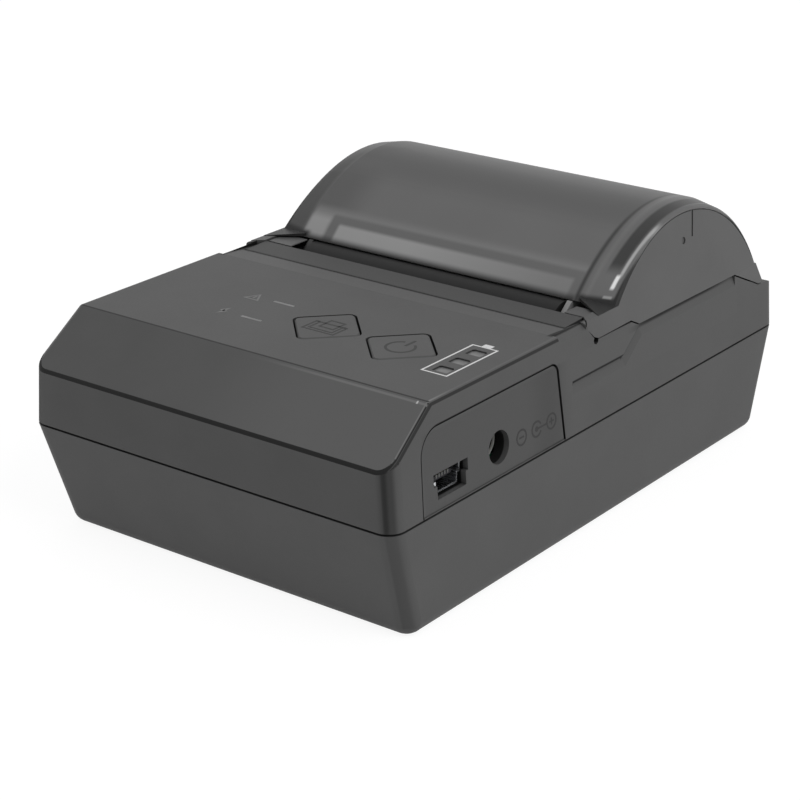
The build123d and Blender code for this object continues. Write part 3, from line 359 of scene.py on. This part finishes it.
# Leaf springs: rolled spring steel, a little darker
spring_leaf = worked_metal("rolled_spring_steel", "#a9abad", 0.3, 0.2, 0.0004)
# Screws: blackened by oxide, with a dull shine on their edges
blacked_screw = worked_metal("blackened_screw_steel", "#3b3c3e", 0.4, 0.3, 0.0005)
# Heatsink: extruded aluminium, anodised clear
anodised = worked_metal("anodised_aluminium", "#d0d2d3", 0.38, 0.3, 0.0005)
# Contacts and pinion: yellow brass with a thin flash
pressed_brass = worked_metal("flashed_brass", "#d9b566", 0.28, 0.2, 0.0004)


def ground_rubber():
    """Ground platen rubber: near black, with a fine ground grain and a soft sheen where light grazes it."""
    material, tree, shader = new_finish("ground_black_rubber", "#191919", 0.5, Specular_IOR_Level=0.2)
    place = add_node(tree, "TexCoord").outputs["Object"]
    grains = {"Vector": place, "Scale": 1 / (0.4 * MM), "Detail": 2.0}
    grain = add_node(tree, "TexNoise", grains).outputs["Fac"]
    tree.links.new(blend_colour(tree, grain, "#161616", "#1d1d1d"), shader.inputs["Base Color"])
    bump = add_node(tree, "Bump", {"Height": grain, "Distance": 0.004 * MM, "Strength": 1.0})
    tree.links.new(bump.outputs["Normal"], shader.inputs["Normal"])
    return material


def painted_bracket():
    """Light grey stove paint on the bracket: even, with a fine orange peel in the gloss. The left arm is
    painted dark, as painted shade of the slot's end."""
    material, tree, shader = new_finish("painted_bracket_steel", "#8c8c8c", 0.42, Specular_IOR_Level=0.35)
    place = add_node(tree, "TexCoord").outputs["Object"]
    dimples = {"Vector": place, "Scale": 1 / (0.9 * MM), "Detail": 1.0}
    peel = add_node(tree, "TexNoise", dimples).outputs["Fac"]
    tone = blend_colour(tree, peel, "#8c8c8c", "#868686")
    # Painted shade: the left arm, past x -29.4, is painted dark
    tone = paint(tree, find_measures(tree), tone, [("#2a2a2a", ("x", None, -29.4, 0.4))])
    tree.links.new(crease_shade(tree, tone, reach=1.5, depth=0.4), shader.inputs["Base Color"])
    bump = add_node(tree, "Bump", {"Height": peel, "Distance": 0.01 * MM, "Strength": 1.0})
    tree.links.new(bump.outputs["Normal"], shader.inputs["Normal"])
    return material


def glazed_head():
    """Glazed ceramic of the print head: warm white, with the dark line of its heating dots along the top."""
    material, tree, shader = new_finish("glazed_ceramic", "#e6e2d6", 0.2)
    place = add_node(tree, "TexCoord").outputs["Object"]
    clouds = {"Vector": place, "Scale": 1 / (3 * MM), "Detail": 2.0}
    cloud = add_node(tree, "TexNoise", clouds).outputs["Fac"]
    glaze = blend_colour(tree, cloud, "#e6e2d6", "#dcd7c9")
    dots = ("#4a3a2c", ("z", HEAD_LINE_Z - 0.2, HEAD_LINE_Z + 0.2, 0.1))
    tree.links.new(paint(tree, find_measures(tree), glaze, [dots]), shader.inputs["Base Color"])
    return material


def circuit_board():
    """Glass-fibre board under dark green solder mask, lifted by a square net of copper tracks below it."""
    material, tree, shader = new_finish("solder_mask_fibreglass", "#16352a", 0.35)
    place = add_node(tree, "TexCoord").outputs["Object"]
    net = {
        "Vector": place,
        "Scale": 1.0,
        "Color1": linear("#143126"),
        "Color2": linear("#17382c"),
        "Mortar": linear("#2c5a45"),
        "Mortar Size": 0.12 * MM,
        "Brick Width": 3.1 * MM,
        "Row Height": 1.3 * MM,
    }
    tracks = add_node(tree, "TexBrick", net)
    tree.links.new(tracks.outputs["Color"], shader.inputs["Base Color"])
    bump = add_node(tree, "Bump", {"Height": tracks.outputs["Fac"], "Distance": 0.03 * MM, "Strength": 1.0})
    tree.links.new(bump.outputs["Normal"], shader.inputs["Normal"])
    return material


def flat_ribbon():
    """Polyimide ribbon: amber film with copper lines inside, side by side. The lines are 0.5 mm apart on a
    real one and are drawn about six times as far apart, so that they show."""
    material, tree, shader = new_finish("polyimide_ribbon", "#8f5527", 0.3)
    place = add_node(tree, "TexCoord").outputs["Object"]
    spacing = 0.5 * MM
    waves = {"Vector": place, "Scale": 1 / (20 * spacing)}
    lines = add_node(tree, "TexWave", waves, bands_direction="X").outputs["Fac"]
    tree.links.new(blend_colour(tree, lines, "#8f5527", "#b8793f"), shader.inputs["Base Color"])
    return material


def shrunk_film():
    """Battery wrap: dark blue-grey film shrunk on the cells, with slack wrinkles in its gloss."""
    material, tree, shader = new_finish("shrunk_battery_film", "#33363d", 0.35)
    place = add_node(tree, "TexCoord").outputs["Object"]
    wrinkles = {"Vector": place, "Scale": 1 / (7 * MM), "Detail": 3.0}
    slack = add_node(tree, "TexNoise", wrinkles).outputs["Fac"]
    tree.links.new(blend_colour(tree, slack, "#2e3138", "#3a3e46"), shader.inputs["Base Color"])
    bump = add_node(tree, "Bump", {"Height": slack, "Distance": 0.15 * MM, "Strength": 1.0})
    tree.links.new(bump.outputs["Normal"], shader.inputs["Normal"])
    return material


def satin_nickel(name, pale, deep):
    """Satin nickel plate on the ports' small rings and contacts: soft enough to catch stray light."""
    material, tree, shader = new_finish(name, pale, 0.5, metallic=0.35)
    place = add_node(tree, "TexCoord").outputs["Object"]
    grains = {"Vector": place, "Scale": 1 / (0.2 * MM), "Detail": 1.0}
    satin = add_node(tree, "TexNoise", grains).outputs["Fac"]
    tree.links.new(blend_colour(tree, satin, deep, pale), shader.inputs["Base Color"])
    return material


def frosted_lens():
    """Frosted acrylic of the lights: mid grey, with soft milky clouds in the frost."""
    material, tree, shader = new_finish("frosted_acrylic", "#6e6e6e", 0.35, Specular_IOR_Level=0.3)
    place = add_node(tree, "TexCoord").outputs["Object"]
    clouds = {"Vector": place, "Scale": 1 / (1.6 * MM), "Detail": 1.0}
    frost = add_node(tree, "TexNoise", clouds).outputs["Fac"]
    milk = add_node(tree, "MapRange", {"Value": frost, "From Min": 0.35, "From Max": 0.65}).outputs["Result"]
    tree.links.new(blend_colour(tree, milk, "#686868", "#757575"), shader.inputs["Base Color"])
    return material


def printed_ink(name, colour, thin):
    """Pad-printed ink: an even colour that thins a little on the grit of the plastic."""
    material, tree, shader = new_finish(name, colour, 0.6)
    place = add_node(tree, "TexCoord").outputs["Object"]
    grains = {"Vector": place, "Scale": 1 / (0.3 * MM), "Detail": 1.0}
    grit = add_node(tree, "TexNoise", grains).outputs["Fac"]
    tree.links.new(blend_colour(tree, grit, colour, thin), shader.inputs["Base Color"])
    return material


def smoked_polycarbonate():
    """Smoked clear cover: a tinted sheet. The light bracket behind it is painted on it softly, and the thick
    rim has painted reflections and highlights, with painted shade at the crown, the left end and the foot.
    """
    material, tree, shader = new_finish("smoked_polycarbonate", "#6a6a6a", 0.38, Specular_IOR_Level=0.13)
    measures = find_measures(tree)
    place = add_node(tree, "TexCoord").outputs["Object"]
    clouds = {"Vector": place, "Scale": 1 / (16 * MM), "Detail": 1.0}
    smoke = add_node(tree, "TexNoise", clouds).outputs["Fac"]
    tone = blend_colour(tree, smoke, "#6f6f6f", "#757575")
    # Painted light: the bracket's front strip is brightest at the left
    x, z = measures["x"][0], measures["z"][0]
    leftward = {"Value": x, "From Min": -8 * MM, "From Max": 26 * MM, "To Min": 1.0, "To Max": 0.0}
    bright = add_node(tree, "MapRange", leftward).outputs["Result"]
    strip_tone = blend_colour(tree, bright, "#848484", "#a0a0a0")
    front = ("y", -10, 22, 4)
    right_end = ("x", 0, None, 1)
    left_end = ("x", None, -30, 6)
    layers = (
        # Painted shade, darker than the smoke, at the crown, over the upper front and at the left end
        ("#5c5c5c", ("z", 52.0, None, 4)),
        ("#4a4a4a", ("ny", 0.12, 0.6, 0.3)),
        ("#646464", front, ("x", -40, -25, 9)),
        # Bracket behind the window, painted on it: its band, the painted shade of the groove in it, its front
        # strip and a painted patch of light at its left end
        ("#828282", front, ("x", -33.0, 31.5, 1.5), ("z", 40, 46.2, 1.6)),
        ("#6e6e6e", front, ("x", -28.0, 31.0, 1.0), ("z", 40, 45.5, 0.7)),
        (strip_tone, front, ("x", -25.7, 29.2, 1.0), ("z", 40, 44.2, 0.7)),
        ("#9c9c9c", front, ("x", -33.0, -28.2, 1.4), ("z", 40, 45.0, 1.4)),
        # Shade at the foot of the window
        ("#303030", front, ("z", None, 41.8, 1.3)),
        # Painted reflections in the thick rim: its body, a crease, a streak and the dark band by the cheek's
        # edge; and painted shade on the left rim
        ("#6e6e6e", right_end, ("side", 30.9, None, 0.8)),
        ("#444444", right_end, ("side", 30.9, 31.7, 0.8)),
        ("#767676", right_end, ("side", 32.6, 33.4, 0.9)),
        ("#424242", right_end, ("side", 34.4, 36.7, 0.7), ("z", 46.4, None, 2.0)),
        ("#525252", left_end, ("side", 33.6, None, 1.5)),
        # Painted highlight along the rim's edge, with a painted glint near its foot
        ("#b4b4b4", right_end, front, ("side", 36.95, 37.5, 0.4), ("z", 45.4, 52.3, 1.4)),
        ("#f2f2f2", right_end, front, ("side", 36.5, 37.2, 0.4), ("z", 43.6, 45.6, 0.6)),
        # Painted shade on the outer edge and toe of the rim, and a painted highlight on the toe
        ("#303030", ("side", 38.05, None, 0.5)),
        ("#2c2c2c", front, ("side", 31.5, None, 1.5), ("z", None, 42.3, 0.9)),
        ("#9a9a9a", right_end, front, ("side", 36.0, 37.6, 0.4), ("z", 42.2, 42.6, 0.3)),
    )
    tree.links.new(paint(tree, measures, tone, layers), shader.inputs["Base Color"])
    # The smoke hides less in the middle of the dome than over the bracket
    clearing = {"Value": z, "From Min": 45 * MM, "From Max": 50 * MM, "To Min": 0.96, "To Max": 0.86}
    tree.links.new(add_node(tree, "MapRange", clearing).outputs["Result"], shader.inputs["Alpha"])
    return material


finishes = {
    "case_plastic": case_abs,
    "cover_plastic": cover_abs,
    "smoked_window": smoked_polycarbonate(),
    "bracket_steel": painted_bracket(),
    "key_rubber": key_silicone,
    "platen_rubber": ground_rubber(),
    "steel": turned_steel,
    "frame_steel": plated_steel,
    "aluminium": anodised,
    "ceramic": glazed_head(),
    "gear_nylon": gear_nylon,
    "bushing_plastic": acetal,
    "board": circuit_board(),
    "chip": black_epoxy,
    "ribbon": flat_ribbon(),
    "battery_wrap": shrunk_film(),
    "brass": pressed_brass,
    "lens": frosted_lens(),
    "spring_steel": spring_leaf,
    "screw_steel": blacked_screw,
}
# Every CAD piece takes the finish of its slot
for subpart in frame["record"]["subparts"]:
    for slot in frame["nodes"][subpart["node"]].material_slots:
        slot.material = finishes[subpart["material_slot"]]


WHITE_INK = printed_ink("white_pad_ink", "#e4e4e4", "#dadada")
GREY_INK = printed_ink("grey_pad_ink", "#707070", "#686868")
DARK_INK = printed_ink("dark_pad_ink", "#161616", "#1c1c1c")
# How far a print stands off its face, and how thick it is
INK_PROUD = 0.02
INK_THICK = 0.03


def add_sheet(sides, centre, half, line=0.0, turn=0.0):
    """Adds a flat bar for 4 sides or else a polygon, of the half size given in x and y, turned by turn.
    If line is given, only an outline of that width is left of it."""
    bpy.ops.object.select_all(action="DESELECT")
    at = [c * MM for c in centre]
    if sides == 4:
        bpy.ops.mesh.primitive_plane_add(size=2 * MM, location=at)
    else:
        bpy.ops.mesh.primitive_circle_add(vertices=sides, radius=MM, fill_type="NGON", location=at)
    sheet = bpy.context.object
    bpy.ops.object.mode_set(mode="EDIT")
    bpy.ops.transform.resize(value=(half[0], half[1], 1))
    if line:
        bpy.ops.mesh.inset(thickness=line * MM)
        bpy.ops.mesh.delete(type="FACE")
    bpy.ops.object.mode_set(mode="OBJECT")
    sheet.rotation_euler = (0, 0, turn)
    bpy.ops.object.transform_apply(location=False, rotation=True, scale=False)
    return sheet


def open_side(sheet, away, reach):
    """Cuts from an outline the faces whose middle lies further than reach from its centre, towards away."""
    mesh = sheet.data
    for part in (mesh.vertices, mesh.edges, mesh.polygons):
        part.foreach_set("select", [False] * len(part))
    for face in mesh.polygons:
        face.select = face.center.dot(Vector(away)) > reach * MM
    bpy.ops.object.mode_set(mode="EDIT")
    bpy.ops.mesh.select_mode(type="FACE")
    bpy.ops.mesh.delete(type="FACE")
    bpy.ops.object.mode_set(mode="OBJECT")
    return sheet


def join_pieces(name, parts):
    """Makes parts one piece of that name, with its place in its mesh."""
    bpy.ops.object.select_all(action="DESELECT")
    for part in parts:
        part.select_set(True)
    bpy.context.view_layer.objects.active = parts[0]
    if len(parts) > 1:
        bpy.ops.object.join()
    piece = bpy.context.object
    bpy.ops.object.transform_apply(location=True, rotation=True, scale=True)
    piece.name = name
    piece.data.name = name
    return piece


def hand_over(piece, body, material):
    """Gives a finished piece its body and its material."""
    piece.data.materials.clear()
    piece.data.materials.append(material)
    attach(piece, body)


def print_on(name, sheets, body, ink, stand=None):
    """Makes flat sheets one thin layer of ink, stood up by the matrix stand where it isn't on the deck."""
    layer = join_pieces(name, sheets)
    if stand is not None:
        layer.matrix_world = stand
        bpy.ops.object.transform_apply(location=True, rotation=True, scale=True)
    bpy.ops.object.modifier_add(type="SOLIDIFY")
    layer.modifiers["Solidify"].thickness = INK_THICK * MM
    bpy.ops.object.modifier_apply(modifier="Solidify")
    hand_over(layer, body, ink)


def deck_prints():
    """Prints on the deck: the gauge with its pole, a fault sign, and a bolt made of two slim triangles."""
    z = DECK_Z + INK_PROUD
    outline = add_sheet(4, (32.28, -33.8, z), (2.74, 7.6), line=0.35)
    pole = add_sheet(4, (32.35, -25.55, z), (0.95, 0.6))
    print_on("gauge_print", [outline, pole], "case", WHITE_INK)
    fault_at = (-16.4, -30.1, z)
    fault = [add_sheet(3, fault_at, (2.1, 2.1), line=0.36), add_sheet(4, fault_at, (0.2, 0.6))]
    bolt_ends = ((-16.3, -38.35, -18), (-16.1, -39.55, 162))
    bolt = [add_sheet(3, (x, y, z), (0.7, 1.5), turn=math.radians(turn)) for x, y, turn in bolt_ends]
    print_on("light_prints", fault + bolt, "case", GREY_INK)


def key_prints():
    """Prints on the keys: a sheet of paper in its open tray, and an open ring with a stroke."""
    z = KEY_TOP_Z + INK_PROUD
    tray_x = 4.07
    rearward = (0, 1, 0)
    tray = open_side(add_sheet(4, (tray_x, -35.3, z), (3.62, 2.2), line=0.42), rearward, 2.0)
    tray_inside = open_side(add_sheet(4, (tray_x, -34.9, z), (2.75, 1.75), line=0.36), rearward, 1.55)
    ends = [add_sheet(4, (tray_x + side * 3.05, -33.15, z), (0.35, 0.12)) for side in (-1, 1)]
    sheet = add_sheet(4, (4.3, -33.35, z), (1.75, 1.95), line=0.42)
    print_on("feed_print", [tray, tray_inside, sheet] + ends, "feed_key", DARK_INK)
    ring = open_side(add_sheet(40, (20.5, -34.9, z), (2.85, 2.85), line=0.5), (0.15, 1, 0), 2.35)
    stroke = add_sheet(4, (20.85, -32.5, z), (0.27, 1.5))
    print_on("power_print", [ring, stroke], "power_key", DARK_INK)


def panel_print():
    """Standard sign of the inlet's poles beside it: a minus, the plug's ring and pin, and a plus."""
    minus_y, plug_y, plus_y = -26.8, -22.15, -17.5
    row_z = 26.8
    ring_half = (1.6, 1.55)
    stroke = 0.17
    sheets = [add_sheet(28, (y, 0, 0), ring_half, line=0.36) for y in (minus_y, plus_y)]
    sheets.append(open_side(add_sheet(28, (plug_y, 0, 0), ring_half, line=0.36), (1, 0, 0), 1.2))
    sheets.append(add_sheet(16, (plug_y, 0, 0), (0.5, 0.5)))
    sheets.append(add_sheet(4, ((plug_y + plus_y - 1.2) / 2, 0, 0), (1.4, stroke)))
    sheets += [add_sheet(4, (y, 0, 0), (0.7, stroke)) for y in (minus_y, plus_y)]
    sheets += [add_sheet(4, (plus_y, side * 0.4, 0), (stroke, 0.25)) for side in (-1, 1)]
    lean = math.atan(SIDE_LEAN)
    surface_x = SIDE_X - (row_z - SIDE_Z) * SIDE_LEAN - PANEL_RECESS + INK_PROUD
    along = Vector((0, 1, 0))
    rise = Vector((-math.sin(lean), 0, math.cos(lean)))
    stand = Matrix((along, rise, along.cross(rise))).transposed().to_4x4()
    stand.translation = (surface_x * MM, 0, row_z * MM)
    print_on("polarity_print", sheets, "case", DARK_INK, stand)


def turned(stations, sides=24):
    """Makes a turned form about the z axis from (radius, height) stations, each extruded from the last."""
    bpy.ops.object.select_all(action="DESELECT")
    radius, height = stations[0]
    bpy.ops.mesh.primitive_circle_add(
        vertices=sides, radius=radius * MM, fill_type="NGON", location=(0, 0, height * MM)
    )
    form = bpy.context.object
    bpy.ops.object.mode_set(mode="EDIT")
    for next_radius, next_height in stations[1:]:
        rise = (0, 0, (next_height - height) * MM)
        bpy.ops.mesh.extrude_region_move(TRANSFORM_OT_translate={"value": rise})
        scale = next_radius / radius
        bpy.ops.transform.resize(value=(scale, scale, 1))
        radius, height = next_radius, next_height
    bpy.ops.mesh.select_all(action="SELECT")
    bpy.ops.mesh.normals_make_consistent(inside=False)
    bpy.ops.object.mode_set(mode="OBJECT")
    bpy.ops.object.transform_apply(location=True, rotation=True, scale=True)
    return form


def rounded_bar(centre, size, edge, steps):
    """Makes a bar of a size, in millimetres, with all its edges rounded by edge in that many steps."""
    bpy.ops.object.select_all(action="DESELECT")
    bpy.ops.mesh.primitive_cube_add(size=MM, location=[c * MM for c in centre])
    bar = bpy.context.object
    bar.scale = size
    bpy.ops.object.transform_apply(location=False, rotation=False, scale=True)
    bpy.ops.object.mode_set(mode="EDIT")
    bpy.ops.mesh.bevel(offset=edge * MM, segments=steps)
    bpy.ops.object.mode_set(mode="OBJECT")
    return bar


def cut_away(form, cutter):
    """Cuts one form out of another and removes the cutter."""
    bpy.ops.object.select_all(action="DESELECT")
    form.select_set(True)
    bpy.context.view_layer.objects.active = form
    bpy.ops.object.modifier_add(type="BOOLEAN")
    form.modifiers["Boolean"].object = cutter
    form.modifiers["Boolean"].operation = "DIFFERENCE"
    bpy.ops.object.modifier_apply(modifier="Boolean")
    bpy.data.objects.remove(cutter)


def cross_screws(node, places, seat_z, tip_z, shank_r, body):
    """Screws with a domed head, a cross recess and a ringed thread, in place of a node's plain ones."""
    way = 1 if seat_z > tip_z else -1
    core_r, crest_r, head_r = 0.8 * shank_r, 0.98 * shank_r, 2 * shank_r
    pitch, head_tall = 0.5 * shank_r, 1.3 * shank_r
    # Radius of each station on one ring of the thread, and its height as a part of the pitch
    ring = ((crest_r, 0.35), (crest_r, 0.5), (core_r, 0.85), (core_r, 1.0))
    # The same on the head, with its height as a part of the head's
    head = ((head_r, 0.0), (head_r, 0.55), (0.9 * head_r, 0.85), (0.62 * head_r, 1.0))
    stations = [(0.3 * shank_r, tip_z), (core_r, tip_z + way * shank_r)]
    for i in range(int((abs(seat_z - tip_z) - 1.6 * shank_r) / pitch)):
        foot = tip_z + way * (shank_r + i * pitch)
        stations += [(radius, foot + way * part * pitch) for radius, part in ring]
    stations.append((core_r, seat_z))
    stations += [(radius, seat_z + way * part * head_tall) for radius, part in head]
    first = turned(stations)
    for slim, long in ((0.32, 1.84), (1.84, 0.32)):
        bpy.ops.object.select_all(action="DESELECT")
        bpy.ops.mesh.primitive_cube_add(size=shank_r * MM, location=(0, 0, (seat_z + way * head_tall) * MM))
        cutter = bpy.context.object
        cutter.scale = (slim, long, 1.3)
        bpy.ops.object.transform_apply(location=True, rotation=True, scale=True)
        cut_away(first, cutter)
    bpy.ops.object.shade_smooth_by_angle(angle=SMOOTH_ANGLE)
    screws = [first] + [first.copy() for _ in places[1:]]
    for screw in screws[1:]:
        screw.data = first.data.copy()
        bpy.context.collection.objects.link(screw)
    for screw, (x, y) in zip(screws, places):
        screw.location = (x * MM, y * MM, 0)
    piece = join_pieces(node + "_detailed", screws)
    hand_over(piece, body, blacked_screw)
    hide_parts(node)


def screw_sets():
    """Fasteners that show from below, with the cover open, or when the case is apart. Each set has its places
    on the right, the heights of its seat and tip, its shank's radius and its body."""
    sets = {
        "case_screws": (((33.8, -21), (34.5, 52)), 2.0, 20, 1.25, "case"),
        "well_screws": (((34.5, 12), (34.5, 52)), 34.0, 27.5, 1.0, "case"),
        "bracket_screws": (((35.1, 10.1),), 39.7, 37.4, 0.8, "cover"),
    }
    for node, (on_right, seat_z, tip_z, shank_r, body) in sets.items():
        places = [(side * x, y) for side in (-1, 1) for x, y in on_right]
        cross_screws(node, places, seat_z, tip_z, shank_r, body)


def port_trim():
    """Mouth ring of the power inlet, and the folded tips of the data port's contacts."""
    ring = turned([(3.25, 0), (3.25, 0.25), (3.15, 0.35)], sides=40)
    cut_away(ring, turned([(2.86, -0.1), (2.86, 0.5)], sides=40))
    ring.rotation_euler = (0, math.radians(90), 0)
    ring.location = (37.0 * MM, -33.6 * MM, 27.3 * MM)
    ring = join_pieces("inlet_mouth_ring", [ring])
    bpy.ops.object.shade_smooth_by_angle(angle=SMOOTH_ANGLE)
    hand_over(ring, "case", satin_nickel("satin_nickel_plate", "#cecec9", "#c4c4c1"))
    low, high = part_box("usb_tongue")
    x, y, z = high[0] / MM - 0.05, (low[1] + high[1]) / 2 / MM, high[2] / MM - 0.2
    pitch = 0.8
    tips = [rounded_bar((x, y + pitch * i, z), (0.18, 0.36, 0.72), 0.06, 2) for i in range(-2, 3)]
    tips = join_pieces("usb_contact_tips", tips)
    # The contact tips' plate is painted dark, as painted shade inside the port
    hand_over(tips, "case", satin_nickel("painted_shade_nickel_plate", "#70706e", "#666664"))


def slot_edges():
    """Rounded lip of the bracket over the roller, and the webs that close the slot's ends beside it."""
    lip = join_pieces("bracket_lip", [rounded_bar(LIP_AT, LIP_SIZE, 0.1, 3)])
    bpy.ops.object.shade_smooth_by_angle(angle=SMOOTH_ANGLE)
    hand_over(lip, "cover", finishes["bracket_steel"])
    webs = join_pieces("slot_end_webs", [rounded_bar(centre, size, 0.08, 2) for centre, size in WEBS])
    hand_over(webs, "cover", cover_abs)


def door_grips():
    """Raised finger ribs at the front of the sliding battery door, rounded along their length."""
    low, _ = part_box("battery_door")
    first_y, pitch, count = low[1] / MM + 4, 1.5, 6
    rib_size = (18, 0.7, 0.18)
    ribs = [rounded_bar((0, first_y + pitch * i, low[2] / MM), rib_size, 0.06, 2) for i in range(count)]
    grips = join_pieces("battery_door_grips", ribs)
    hand_over(grips, "battery_cover", case_abs)


deck_prints()
key_prints()
panel_print()
screw_sets()
port_trim()
slot_edges()
door_grips()

# Camera at the photograph's view: its direction from the object, and its place to the right, up and back
AZIMUTH = math.radians(37.056)
ELEVATION = math.radians(21.942)
CAMERA_AT = (-4.756, 14.178, 431.13)
flat = math.cos(ELEVATION)
back = Vector((math.sin(AZIMUTH) * flat, -math.cos(AZIMUTH) * flat, math.sin(ELEVATION)))
right = Vector((math.cos(AZIMUTH), math.sin(AZIMUTH), 0))
up = back.cross(right)
camera_data = bpy.data.cameras.new("camera")
camera_data.lens = 99.18
camera_data.sensor_width = 36
camera_data.clip_start = 0.01
camera = bpy.data.objects.new("camera", camera_data)
bpy.context.collection.objects.link(camera)
facing = Matrix((right, up, back)).transposed()
camera.matrix_world = Matrix.Translation(facing @ Vector(CAMERA_AT) * MM) @ facing.to_4x4()
bpy.context.scene.camera = camera


def seen_directly(tree):
    """Is 1 for what the camera, a gloss or a clear sheet shows, and 0 for the light that the object gets."""
    rays = add_node(tree, "LightPath").outputs
    shown = rays["Is Camera Ray"]
    for ray in ("Is Glossy Ray", "Is Transmission Ray"):
        shown = add_node(tree, "Math", {0: shown, 1: rays[ray]}, operation="MAXIMUM").outputs[0]
    return shown


# Floor: pale, shows white to the camera and keeps a faint shadow. It lies just clear of the base
bpy.ops.object.select_all(action="DESELECT")
bpy.ops.mesh.primitive_plane_add(size=12, location=(0, 0, -0.02 * MM))
floor = bpy.context.object
floor.name = "floor"
floor_paint, tree, shader = new_finish("pale_floor", "#f2f2f2", 0.9)
share = add_node(tree, "Math", {0: seen_directly(tree), 1: 0.8}, operation="MULTIPLY")
glow = add_node(tree, "Emission", {"Color": (1, 1, 1, 1), "Strength": 1.12})
shaders = {0: share.outputs[0], 1: shader.outputs["BSDF"], 2: glow.outputs["Emission"]}
lit = add_node(tree, "MixShader", shaders)
tree.links.new(lit.outputs[0], tree.nodes["Material Output"].inputs["Surface"])
floor.data.materials.append(floor_paint)

# World: an even pale studio
world = bpy.data.worlds.new("studio")
bpy.context.scene.world = world
world.use_nodes = True
tree = world.node_tree
studio = tree.nodes["Background"]
strength = add_node(tree, "MapRange", {"Value": seen_directly(tree), "To Min": 0.57, "To Max": 1.0})
studio.inputs["Color"].default_value = (1, 1, 1, 1)
tree.links.new(strength.outputs["Result"], studio.inputs["Strength"])

# Lamp: one square softbox at the front right, aimed at the middle of the case
LAMP_AT = Vector((0.5, -0.08, 0.55))
LAMP_AIM = Vector((0, 0, 0.03))
softbox = bpy.data.lights.new("key_softbox", "AREA")
softbox.size = 0.4
softbox.energy = 1.6
lamp = bpy.data.objects.new("key_softbox", softbox)
bpy.context.collection.objects.link(lamp)
lamp.location = LAMP_AT
lamp.rotation_mode = "QUATERNION"
lamp.rotation_quaternion = (LAMP_AIM - LAMP_AT).to_track_quat("-Z", "Y")

bpy.context.scene.view_settings.view_transform = "Standard"
